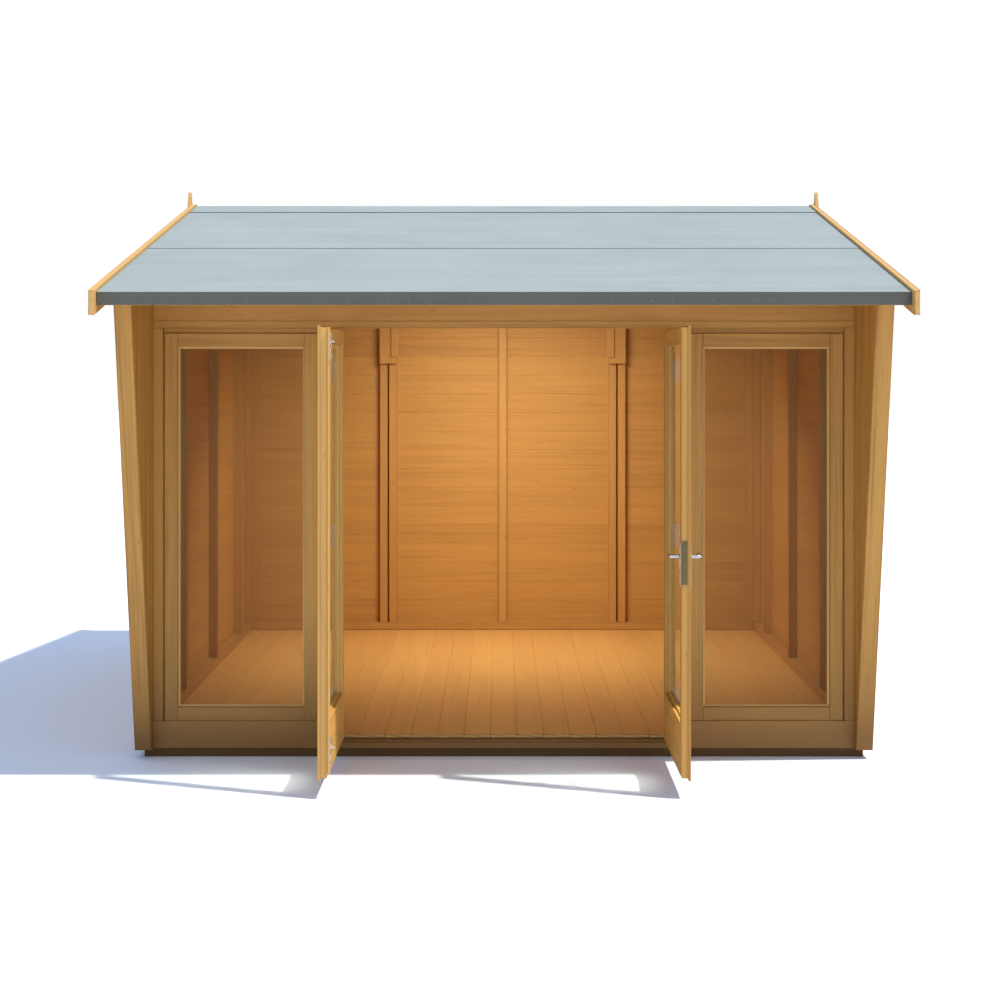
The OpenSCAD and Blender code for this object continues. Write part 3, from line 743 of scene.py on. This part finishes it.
def cladding_nails():
    """Two nail heads to a board over each stud, in the outside faces of the three clad walls."""
    centres, outward = [], []
    for node, side in (("left_wall_cladding", -1), ("right_wall_cladding", 1)):
        low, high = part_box(node)
        face = low[X] if side < 0 else high[X]
        for stud in solids("side_wall_studs"):
            if stud[:, X].mean() * side < 0:
                continue
            ring = side_outline(stud)
            ring = ring[np.argsort(ring[:, 1])]
            bottom, top = ring[:2].mean(axis=0), ring[2:].mean(axis=0)
            z = nail_heights(low[Z], top[1])
            z = z[z > low[Z] + NAIL_CLEAR]
            y = np.interp(z, (bottom[1], top[1]), (bottom[0], top[0]))
            centres.append(np.stack([np.full_like(z, face), y, z], axis=1))
            outward.append(np.tile([side, 0, 0], (len(z), 1)))
    low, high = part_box("back_wall_cladding")
    for stud in solids("back_wall_studs"):
        z = nail_heights(low[Z], stud[:, Z].max())
        x = np.full_like(z, stud[:, X].mean())
        centres.append(np.stack([x, np.full_like(z, high[Y]), z], axis=1))
        outward.append(np.tile([0, 1, 0], (len(z), 1)))
    return heads("cladding_nails", centres, outward, sizes().nail_head)


def boards_from(node, look):
    """A CAD node of straight solids remade as rounded boards with grain."""
    ends = [solid_board(points) for points in solids(node)]
    return timber(node + "_planed", ends, look, HOUSE, (node,))


def gable_rails(node):
    """Each V of the gable's top rails as two boards that meet at the ridge."""
    ends = []
    for points in solids(node):
        x0, x1 = points[:, X].min(), points[:, X].max()
        ring = side_outline(points)
        ring = ring[np.argsort(ring[:, 1])]
        ridge = ring[np.abs(ring[:, 0]) < SAME]
        for half in (ring[ring[:, 0] < -SAME], ring[ring[:, 0] > SAME]):
            ends.append(board_between(half, ridge, x0, x1))
    return timber(node + "_planed", ends, "framing_timber", HOUSE, (node,))


def softened(node, look, along, body=HOUSE):
    """A merged copy of a CAD node with bevelled edges and its grain along one axis."""
    corners, triangles = node_mesh(node)
    order = [along] + [axis for axis in (X, Y, Z) if axis != along]
    rng = np.random.default_rng(sizes().seed + len(node))
    grain = corners[:, order] + rng.uniform(-20, 20, 3)
    arrays = corners, [triangles], grain, np.zeros(len(corners))
    piece = new_piece(node + "_planed", arrays, look, body, (node,))
    bevel = piece.modifiers.new("Edges", "BEVEL")
    bevel.width = sizes().edge_round
    bevel.segments = 2
    bevel.limit_method = "ANGLE"
    bevel.angle_limit = math.radians(25)
    return piece


def deck(node):
    """The roof boards of one slope: boards along X, each with a V underneath at both edges."""
    low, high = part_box(node)
    ring = side_outline(node_mesh(node)[0])
    ring = ring[np.argsort(np.abs(ring[:, 0]))]
    ridge, eave = ring[:2], ring[2:]
    ridge, eave = ridge[np.argsort(ridge[:, 1])], eave[np.argsort(eave[:, 1])]
    count = max(1, round(abs(eave[0, 0] - ridge[0, 0]) / sizes().board_cover))
    share = np.linspace(0, 1, count + 1)[:, None]
    bottom = ridge[0] + (eave[0] - ridge[0]) * share
    top = ridge[1] + (eave[1] - ridge[1]) * share
    ends = []
    for corners in zip(bottom[:-1], bottom[1:], top[1:], top[:-1]):
        ends.append([[(x, y, z) for y, z in corners] for x in (low[X], high[X])])
    return timber(
        node + "_laid", ends, "board_timber", HOUSE, (node,),
        radii=sizes().board_groove, arc=1, end_round=False,
    )


def floor_boards():
    """Floor boards along Y, with a fine V at each joint."""
    low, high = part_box("floor_boards")
    count = round((high[X] - low[X]) / sizes().board_cover)
    xs = np.linspace(low[X], high[X], count + 1)
    ends = [box_board((a, low[Y], low[Z]), (b, high[Y], high[Z]), Y) for a, b in zip(xs[:-1], xs[1:])]
    return timber(
        "floor_boards_laid", ends, "floor_timber", HOUSE, ("floor_boards",),
        radii=sizes().board_groove * 0.45, arc=1, end_round=False,
    )


def ring_boards(low, high, pane_low, pane_high, thin):
    """Two stiles the full height and two rails between them, round a pane."""
    wide = X if thin == Y else Y
    boards = []
    for along, across in ((Z, wide), (wide, Z)):
        for a, b in ((low[across], pane_low[across]), (pane_high[across], high[across])):
            first, last = np.array(low, float), np.array(high, float)
            if along == wide:
                first[wide], last[wide] = pane_low[wide], pane_high[wide]
            first[across], last[across] = a, b
            boards.append(box_board(first, last, along))
    return boards


def bead_piece(name, low, high, seat, way, thin, look, body=HOUSE):
    """A quarter-round bead against a pane, seated at seat along the thin axis and standing way of it."""
    size = sizes().bead
    turn = np.linspace(0, math.pi / 2, 5)[1:]
    profile = [(0, seat), (size, seat)]
    profile += [(size * math.cos(t), seat + way * size * math.sin(t)) for t in turn]
    vertices, faces, grain, tone = frame_ring(low, high, profile, thin)
    # the first side's faces have to point away from its own middle
    a, b, c = (vertices[faces[0][: len(profile), i]] for i in (0, 1, 2))
    middle = vertices[: 2 * len(profile)].mean(axis=0)
    if np.einsum("ij,ij->i", np.cross(b - a, c - a), a - middle).sum() < 0:
        faces = turned(faces)
    return new_piece(name, (vertices, faces, grain, tone), look, body)


def pane_edges(pane):
    """The lowest and highest corners of the opening in front of a pane."""
    return pane.min(axis=0) + GLASS_LAP, pane.max(axis=0) - GLASS_LAP


class SUMMERHOUSE_OT_walls(bpy.types.Operator):
    """Lays the outside boards of the walls and their nails"""

    bl_idname = "summerhouse.walls"
    bl_label = "Wall boards"

    def execute(self, context):
        side_wall("left_wall_cladding")
        side_wall("right_wall_cladding")
        back_wall("back_wall_cladding")
        cladding_nails()
        boards_from("wing_edge_boards", "wing_timber")
        softened("wing_linings", "wing_timber", Z)
        softened("back_corner_trims", "wing_timber", Z)
        return {"FINISHED"}


class SUMMERHOUSE_OT_wall_frames(bpy.types.Operator):
    """Makes the studs and rails inside the walls"""

    bl_idname = "summerhouse.wall_frames"
    bl_label = "Studs and rails"

    def execute(self, context):
        for node in ("side_wall_studs", "side_wall_bottom_rails", "back_wall_studs", "back_wall_rails"):
            boards_from(node, "framing_timber")
        gable_rails("gable_top_rails")
        return {"FINISHED"}


class SUMMERHOUSE_OT_floor(bpy.types.Operator):
    """Lays the bearers and the floor boards"""

    bl_idname = "summerhouse.floor"
    bl_label = "Floor"

    def execute(self, context):
        boards_from("floor_bearers", "base_timber")
        floor_boards()
        return {"FINISHED"}


class SUMMERHOUSE_OT_front(bpy.types.Operator):
    """Makes the posts, the head and the sills of the front"""

    bl_idname = "summerhouse.front"
    bl_label = "Front frame"

    def execute(self, context):
        for node in ("front_outer_posts", "front_door_posts", "front_head_rail", "front_sill_beams"):
            boards_from(node, "front_timber")
        boards_from("front_header_board", "board_timber")
        softened("front_sill_board", "front_timber", X)
        return {"FINISHED"}


class SUMMERHOUSE_OT_windows(bpy.types.Operator):
    """Makes the two fixed windows with their panes and beads"""

    bl_idname = "summerhouse.windows"
    bl_label = "Windows"

    def execute(self, context):
        ends, packers = [], []
        for points, pane in zip(solids("window_frames"), solids("window_glass")):
            pane_low, pane_high = pane_edges(pane)
            low, high = points.min(axis=0), points.max(axis=0)
            front, recess = np.unique(points[:, Y])[:2]
            face = points[np.abs(points[:, Y] - front) < SAME]
            unit_low = np.array([face[:, X].min(), front, low[Z]])
            unit_high = np.array([face[:, X].max(), high[Y], face[:, Z].max()])
            ends += ring_boards(unit_low, unit_high, pane_low, pane_high, Y)
            right = pane[:, X].mean() > 0
            x0, x1 = (unit_high[X], high[X]) if right else (low[X], unit_low[X])
            packers.append(box_board((low[X], recess, unit_high[Z]), high, X))
            packers.append(box_board((x0, recess, low[Z]), (x1, high[Y], unit_high[Z]), Z))
            name = "right_window_beads" if right else "left_window_beads"
            bead_piece(name, pane_low, pane_high, pane[:, Y].min(), -1, Y, "trim_timber")
        timber("window_frames_planed", ends, "front_timber", HOUSE, ("window_frames",))
        timber("window_packers", packers, "front_timber")
        dress("window_glass", "glass")
        return {"FINISHED"}


class SUMMERHOUSE_OT_roof_boards(bpy.types.Operator):
    """Lays the boards of both roof slopes"""

    bl_idname = "summerhouse.roof_boards"
    bl_label = "Roof boards"

    def execute(self, context):
        deck("roof_boards_front")
        deck("roof_boards_back")
        boards_from("eave_battens", "trim_timber")
        return {"FINISHED"}


def felt_sheet(node, name, lift=0.0006):
    """A felt sheet over its CAD solid's outline.

    The outline in the side view is carried along X. Points on the top face sink by a smooth
    ripple of up to lift, two sines along X and down the slope, so the felt looks laid by hand.
    Upright faces are folds, darker as painted shade, and faces shorter than edge are cut edges, near black
    as bitumen and as a painted shadow line.
    """
    low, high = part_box(node)
    ring = ordered_outline(node)
    columns, pitch, edge = 41, 0.06, 0.012
    stretches, kinds = [], []
    for start, end in zip(ring, np.roll(ring, -1, axis=0)):
        span = np.linalg.norm(end - start)
        steps = max(1, int(span / pitch))
        stretches.append(start + (end - start) * np.linspace(0, 1, steps, endpoint=False)[:, None])
        upright = abs(end[0] - start[0]) < SAME
        kinds += [2 if span < edge else 1 if upright else 0] * steps
    outline = np.concatenate(stretches)
    xs = np.linspace(low[X], high[X], columns)
    grid = np.empty((columns, len(outline), 3))
    grid[..., X] = xs[:, None]
    grid[..., 1:] = outline
    along = 0.5 + 0.25 * np.sin(xs * 7.3)[:, None] + 0.25 * np.sin(xs * 17.1 + 1.3)[:, None]
    ripple = along * (0.6 + 0.4 * np.sin(outline[:, 0] * 9.1)[None])
    inside = np.ones(columns)
    inside[[0, -1]] = 0
    grid[..., Z] -= lift * np.clip(ripple, 0, 1) * upper_side(outline)[None] * inside[:, None]
    piece = new_piece(name, outward_tube(grid), "felt", HOUSE, (node,))
    # the folds take the painted shade finish, the cut edges the bitumen finish with its painted shadow line
    piece.data.materials.append(finish("felt_fold"))
    piece.data.materials.append(finish("felt_edge"))
    index = np.concatenate([np.tile(kinds, columns - 1), [2, 2]]).astype(np.int32)
    piece.data.polygons.foreach_set("material_index", index)
    return piece


def ordered_outline(node):
    """The (y, z) outline of a solid that is straight along X, walked edge by edge.

    The walk follows the triangles of the solid's end face: an edge that belongs to only one of
    them lies on the outline.
    """
    corners, triangles = node_mesh(node)
    end = corners[:, X].min()
    flat = np.abs(corners[:, X] - end) < 1e-5
    face = triangles[flat[triangles].all(axis=1)]
    edges = np.concatenate([face[:, [0, 1]], face[:, [1, 2]], face[:, [2, 0]]])
    forward = {(int(a), int(b)) for a, b in edges}
    follow = {a: b for a, b in forward if (b, a) not in forward}
    start = next(iter(follow))
    walk, at = [start], follow[start]
    while at != start:
        walk.append(at)
        at = follow[at]
    return corners[walk][:, 1:]


def upper_side(outline):
    """1 where an outline's point lies on its upper face, away from its ends, and 0 elsewhere."""
    lower = np.interp(outline[:, 0], *lower_line(outline))
    return (outline[:, 1] > lower + 0.001).astype(float)


def lower_line(outline):
    """(ys, zs) of the lowest point of an outline at each of its ys."""
    ys = np.unique(np.round(outline[:, 0], 4))
    zs = np.array([outline[np.abs(outline[:, 0] - y) < 2e-3][:, 1].min() for y in ys])
    return ys, zs


def front_top(node):
    """The (y, z) of the upper corner at the front edge of a felt sheet."""
    outline = ordered_outline(node)
    edge = outline[outline[:, 0] < outline[:, 0].min() + SAME]
    return edge[edge[:, 1].argmax()]


def felt_nails():
    """Clout nails along the lap, both edges of the ridge cap, and the turned-down eave edges."""
    s = sizes()
    inset, rise = 0.02, 0.016
    slope = roof_slope()
    low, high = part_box("felt_front_lower")
    xs = np.arange(low[X] + 0.03, high[X] - inset, s.clout_step)

    def row(y, z):
        return np.stack([xs, np.full_like(xs, y), np.full_like(xs, z)], axis=1)

    cap = front_top("felt_ridge_cap")
    laps = ((front_top("felt_front_upper"), -1), (cap, -1), (cap * (-1, 1), 1))
    heads(
        "felt_lap_nails", [row(y - sign * inset, z + slope * inset) for (y, z), sign in laps],
        [np.tile([0, sign * slope, 1], (len(xs), 1)) for _, sign in laps], s.clout_head, look="dull_zinc",
    )
    back_low, back_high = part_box("felt_back")
    eaves = ((low[Y], low[Z], -1), (back_high[Y], back_low[Z], 1))
    heads(
        "felt_eave_nails", [row(y, z + rise) for y, z, _ in eaves],
        [np.tile([0, side, 0], (len(xs), 1)) for *_, side in eaves], s.clout_head, look="dark_steel",
    )


class SUMMERHOUSE_OT_felt(bpy.types.Operator):
    """Lays the roofing felt and nails it"""

    bl_idname = "summerhouse.felt"
    bl_label = "Roofing felt"

    def execute(self, context):
        felt_sheet("felt_front_lower", "felt_front_lower_sheet")
        felt_sheet("felt_front_upper", "felt_front_upper_sheet")
        felt_sheet("felt_back", "felt_back_sheet")
        felt_sheet("felt_ridge_cap", "felt_ridge_cap_sheet", 0.0003)
        felt_nails()
        return {"FINISHED"}


class SUMMERHOUSE_OT_roof_timbers(bpy.types.Operator):
    """Makes the trusses, the ridge beam, the barge boards and the finials"""

    bl_idname = "summerhouse.roof_timbers"
    bl_label = "Roof timbers and trims"

    def execute(self, context):
        boards_from("roof_trusses", "framing_timber")
        softened("truss_heel_plates", "framing_timber", Z)
        softened("ridge_beam", "framing_timber", X)
        for node in ("barge_boards_front", "barge_boards_back"):
            boards_from(node, "trim_timber")
        softened("finials", "trim_timber", Z)
        return {"FINISHED"}


class SUMMERHOUSE_OT_doors(bpy.types.Operator):
    """Makes the two door leaves: frame, facing, beads and glass"""

    bl_idname = "summerhouse.doors"
    bl_label = "Doors"

    def execute(self, context):
        # the left leaf takes the paler finish, a painted highlight
        for door, leaf in zip(DOORS, ("leaf_timber", "joinery_timber")):
            pane = solids(door + "_glass")[0]
            pane_low, pane_high = pane.min(axis=0), pane.max(axis=0)
            low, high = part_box(door + "_frame")
            facing = ring_boards(*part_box(door + "_facing"), *pane_edges(pane), X)
            timber(door + "_facing_boards", facing, leaf, door, (door + "_facing",))
            ring = ring_boards(low, high, pane_low, pane_high, X)
            timber(door + "_stiles_and_rails", ring, leaf, door, (door + "_frame",))
            inner, seat = (-1, pane_low[X]) if low[X] > 0 else (1, pane_high[X])
            bead_piece(door + "_inner_beads", pane_low, pane_high, seat, inner, X, leaf, door)
            dress(door + "_glass", "glass")
            dress(door + "_hinges", "hinge_steel")
        dress("frame_hinges", "hinge_steel")
        softened("left_door_meeting_strip", "leaf_timber", Z, "left_door")
        return {"FINISHED"}


def swept_bar(path, radii, sides=20):
    """Arrays of a round bar along a flat path.

    Each ring is a circle of the radius there, square to the path: one axis is the path's own
    normal in its plane and the other is square to the plane.
    """
    path = np.asarray(path, float)
    tangent = np.gradient(path, axis=0)
    tangent /= np.linalg.norm(tangent, axis=1, keepdims=True)
    plane = np.cross(path[-1] - path[0], path[len(path) // 2] - path[0])
    if np.linalg.norm(plane) < 1e-9:
        plane = np.array([0, 0, 1.0])
    plane = plane / np.linalg.norm(plane)
    side = np.cross(plane, tangent)
    angle = (np.arange(sides) * 2 * math.pi / sides)[None, :, None]
    circle = np.cos(angle) * side[:, None] + np.sin(angle) * plane
    return outward_tube(path[:, None] + np.reshape(radii, (-1, 1, 1)) * circle)


def lever_path(start, out, bar_end, bend=0.014, steps=9):
    """A path that leaves the plate straight, turns a quarter circle and follows the bar."""
    start, out, bar_end = (np.asarray(p, float) for p in (start, out, bar_end))
    way_out = (out - start) / np.linalg.norm(out - start)
    way_bar = (bar_end - out) / np.linalg.norm(bar_end - out)
    turn = np.linspace(0, math.pi / 2, steps)[:, None]
    corner = out - way_out * bend + way_bar * bend
    arc = corner - way_bar * bend * np.cos(turn) + way_out * bend * np.sin(turn)
    neck = start + (arc[0] - start) * np.linspace(0, 1, 6, endpoint=False)[:, None]
    bar = arc[-1] + (bar_end - arc[-1]) * np.linspace(0, 1, 14)[1:, None]
    return np.concatenate([neck, arc, bar])


def lock_plates():
    """For each lock plate: its outer face in x, the way it faces, its middle y, its ends in z."""
    low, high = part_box("right_door_levers")
    for points in solids("right_door_lock_plates"):
        way = 1 if points[:, X].mean() > (low[X] + high[X]) / 2 else -1
        face = points[:, X].max() if way > 0 else points[:, X].min()
        yield face, way, points[:, Y].mean(), points[:, Z].min(), points[:, Z].max()


def door_levers():
    """Both bent levers and the spindle between their plates."""
    low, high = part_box("right_door_levers")
    y, z = low[Y] + 0.008, (low[Z] + high[Z]) / 2
    bar = (high[Z] - low[Z]) / 2
    bars = []
    for face, way, *_ in lock_plates():
        tip = (high[X] if way > 0 else low[X]) - way * bar
        path = lever_path((face, y, z), (tip, y, z), (tip, high[Y] - 0.001, z))
        share = np.linspace(0, 1, len(path))
        # a full neck, a slightly waisted bar and a rounded tip
        radii = np.full(len(path), bar * 0.94)
        radii[0] = bar
        radii *= 1 - 0.12 * np.sin(np.pi * np.clip((share - 0.3) / 0.7, 0, 1))
        radii[-2:] *= (0.9, 0.55)
        bars.append(swept_bar(path, radii))
    inner, outer = (corner[X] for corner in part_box("right_door_lock_plates"))
    bars.append(swept_bar([(x, y, z) for x in np.linspace(inner, outer, 3)], [SPINDLE] * 3))
    groups, offset = [], 0
    for vertices, faces in bars:
        groups += [group + offset for group in faces]
        offset += len(vertices)
    arrays = np.concatenate([vertices for vertices, _ in bars]), groups
    replaced = ("right_door_levers",)
    new_piece("door_levers", arrays, "satin_chrome", "door_lever", replaced, True)


def lock_pieces():
    """The lock's plates, its edge plate and its latch, with their screws and cylinders."""
    rng = np.random.default_rng(sizes().seed)

    def plate(name, boxes, edge, look, replaced=()):
        ends = [box_board(low, high, Z) for low, high in boxes]
        new_piece(name, board_arrays(ends, edge, rng)[:2], look, "right_door", replaced)

    boxes = [(points.min(axis=0), points.max(axis=0)) for points in solids("right_door_lock_plates")]
    plate("lock_plates", boxes, 0.0012, "satin_chrome", ("right_door_lock_plates",))
    low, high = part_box("right_door_frame")
    x, y = (low[X] + high[X]) / 2, low[Y]
    z = sum(corner[Z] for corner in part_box("right_door_levers")) / 2
    forend = (x - 0.009, y - 0.0014, z - 0.1), (x + 0.009, y + 0.0006, z + 0.06)
    plate("lock_forend", [forend], 0.0006, "lock_bronze")
    latch = (x - 0.006, y - 0.0034, z - 0.012), (x + 0.006, y - 0.001, z + 0.006)
    plate("lock_latch", [latch], 0.0008, "lock_bronze")

    inset, drop = 0.012, 0.058
    plates = list(lock_plates())
    screws = [(face, middle, end) for face, _, middle, a, b in plates for end in (a + inset, b - inset)]
    ways = [(way, 0, 0) for _, way, *_ in plates]
    heads(
        "lock_plate_screws", screws, np.repeat(ways, 2, axis=0), sizes().screw_head, SCREW_LIFT,
        body="right_door",
    )
    keys = [(face, middle, z - drop) for face, _, middle, *_ in plates]
    heads("key_cylinders", keys, ways, 0.0075, 0.0012, body="right_door", sides=16)


def hinge_screws(door):
    """Three screws in each hinge plate on a leaf's outer face."""
    low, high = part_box(door + "_facing")
    side, x = (1, high[X] + HINGE_PLATE) if low[X] > 0 else (-1, low[X] - HINGE_PLATE)
    centres = []
    for points in solids(door + "_hinges"):
        y, z = points[:, Y].min(), points[:, Z].min()
        centres += [(x, y + dy, z + dz) for dy, dz in HINGE_SCREWS]
    ways = [(side, 0, 0)] * len(centres)
    heads(door + "_hinge_screws", centres, ways, sizes().screw_head, SCREW_LIFT, body=door)


class SUMMERHOUSE_OT_fittings(bpy.types.Operator):
    """Makes the levers, lock plates, bolts and screws"""

    bl_idname = "summerhouse.fittings"
    bl_label = "Fittings"

    def execute(self, context):
        door_levers()
        lock_pieces()
        dress("left_door_bolts", "zinc_steel")
        for door in DOORS:
            hinge_screws(door)
        return {"FINISHED"}


class SUMMERHOUSE_OT_stage(bpy.types.Operator):
    """Sets the floor, the light and the camera"""

    bl_idname = "summerhouse.stage"
    bl_label = "Stage"

    def execute(self, context):
        scene = context.scene
        s = scene.summerhouse_stage
        ground(CAD_BOX[0][Z])
        world_light(scene, s.sky)
        sun(s)
        room_lamp(s)
        camera(scene, s)
        scene.view_settings.view_transform = "Standard"
        return {"FINISHED"}


def placed(name, data, location=(0, 0, 0), rotation=(0, 0, 0)):
    """An object with that data, put into the scene."""
    thing = bpy.data.objects.new(name, data)
    thing.location = location
    thing.rotation_euler = rotation
    bpy.context.scene.collection.objects.link(thing)
    return thing


def ground(height, half=60.0):
    """A wide pale floor that shows as white to the camera but keeps the house's shadow."""
    corners = [(x * half, y * half, height) for x, y in ((-1, -1), (1, -1), (1, 1), (-1, 1))]
    mesh = bpy.data.meshes.new("studio_floor")
    mesh.from_pydata(corners, [], [(0, 1, 2, 3)])
    n = Nodes(bpy.data.materials.new("pale_studio_floor"))
    shades = [(0.3, (0.94, 0.955, 0.985)), (0.7, (0.95, 0.965, 0.995))]
    base = n.ramp(n.noise(n.place(), 0.8, 3, 0.5), shades)
    mesh.materials.append(n.done(n.surface(base, 0.9, Specular_IOR_Level=0.0)))
    placed("studio_floor", mesh)


def world_light(scene, strength):
    """Soft light all round; the camera, mirrors and panes see plain white."""
    n = Nodes(bpy.data.worlds.new("studio_sky"), "ShaderNodeOutputWorld")
    soft = n.add("ShaderNodeBackground", {"Color": (0.54, 0.70, 1.0), "Strength": strength})
    white = n.add("ShaderNodeBackground", {"Color": (1, 1, 1), "Strength": 1.0})
    rays = n.add("ShaderNodeLightPath").outputs
    either = n.maths("MAXIMUM", rays["Is Camera Ray"], rays["Is Transmission Ray"])
    seen = n.maths("MAXIMUM", either, rays["Is Glossy Ray"])
    scene.world = n.done(n.add("ShaderNodeMixShader", {0: seen, 1: soft.outputs[0], 2: white.outputs[0]}))


def sun(s):
    """The key light, high on the right."""
    light = bpy.data.lights.new("key_sun", "SUN")
    light.energy = s.sun
    light.angle = math.radians(1.2)
    light.color = (1.0, 0.97, 0.91)
    flat = math.cos(s.sun_height)
    to_sun = Vector((flat * math.cos(s.sun_turn), flat * math.sin(s.sun_turn), math.sin(s.sun_height)))
    placed("key_sun", light, to_sun * 10, to_sun.to_track_quat("Z", "Y").to_euler())


def room_lamp(s):
    """A broad lamp under the ridge, turned down and a little towards the back wall."""
    low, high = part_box("floor_boards")
    light = bpy.data.lights.new("room_lamp", "AREA")
    light.shape = "RECTANGLE"
    light.size, light.size_y = 0.7, 0.5
    light.spread = math.radians(142)
    light.energy = s.room
    light.color = (1.0, 0.95, 0.82)
    up_and_forward = Vector((0, -0.5, 1.0))
    place = (0, (low[Y] + high[Y]) / 2 + 0.12, 1.98)
    lamp = placed("room_lamp", light, place, up_and_forward.to_track_quat("Z", "Y").to_euler())
    lamp.visible_camera = False


def camera(scene, s):
    """A level camera in front, a little under eye height, with the frame shifted down."""
    data = bpy.data.cameras.new("front_camera")
    data.lens = s.lens
    data.sensor_width = 36
    data.shift_y = -0.13
    scene.camera = placed("front_camera", data, (-0.0154, -8.495, 1.578), (math.pi / 2, 0, 0))


class SUMMERHOUSE_PT_panel(bpy.types.Panel):
    """Makes each group of pieces in turn"""

    bl_idname = "SUMMERHOUSE_PT_panel"
    bl_label = "Summerhouse"
    bl_space_type = "VIEW_3D"
    bl_region_type = "UI"
    bl_category = "Summerhouse"

    def draw(self, context):
        for group in (sizes(), colours(), context.scene.summerhouse_stage):
            box = self.layout.box()
            for key in group.__annotations__:
                box.prop(group, key)
        for operator in OPERATORS:
            self.layout.operator(operator.bl_idname)


OPERATORS = (
    SUMMERHOUSE_OT_stage,
    SUMMERHOUSE_OT_floor,
    SUMMERHOUSE_OT_walls,
    SUMMERHOUSE_OT_wall_frames,
    SUMMERHOUSE_OT_front,
    SUMMERHOUSE_OT_windows,
    SUMMERHOUSE_OT_roof_boards,
    SUMMERHOUSE_OT_felt,
    SUMMERHOUSE_OT_roof_timbers,
    SUMMERHOUSE_OT_doors,
    SUMMERHOUSE_OT_fittings,
)
GROUPS = (SummerhouseSizes, SummerhouseColours, SummerhouseStage)
CLASSES = GROUPS + OPERATORS + (SUMMERHOUSE_PT_panel,)


def register():
    for cls in CLASSES:
        bpy.utils.register_class(cls)
    bpy.types.Scene.summerhouse_sizes = PointerProperty(type=SummerhouseSizes)
    bpy.types.Scene.summerhouse_colours = PointerProperty(type=SummerhouseColours)
    bpy.types.Scene.summerhouse_stage = PointerProperty(type=SummerhouseStage)


def unregister():
    del bpy.types.Scene.summerhouse_stage
    del bpy.types.Scene.summerhouse_colours
    del bpy.types.Scene.summerhouse_sizes
    for cls in reversed(CLASSES):
        bpy.utils.unregister_class(cls)


def main():
    register()
    bpy.ops.summerhouse.stage()
    bpy.ops.summerhouse.floor()
    bpy.ops.summerhouse.walls()
    bpy.ops.summerhouse.wall_frames()
    bpy.ops.summerhouse.front()
    bpy.ops.summerhouse.windows()
    bpy.ops.summerhouse.roof_boards()
    bpy.ops.summerhouse.felt()
    bpy.ops.summerhouse.roof_timbers()
    bpy.ops.summerhouse.doors()
    bpy.ops.summerhouse.fittings()


if __name__ == "__main__":
    main()
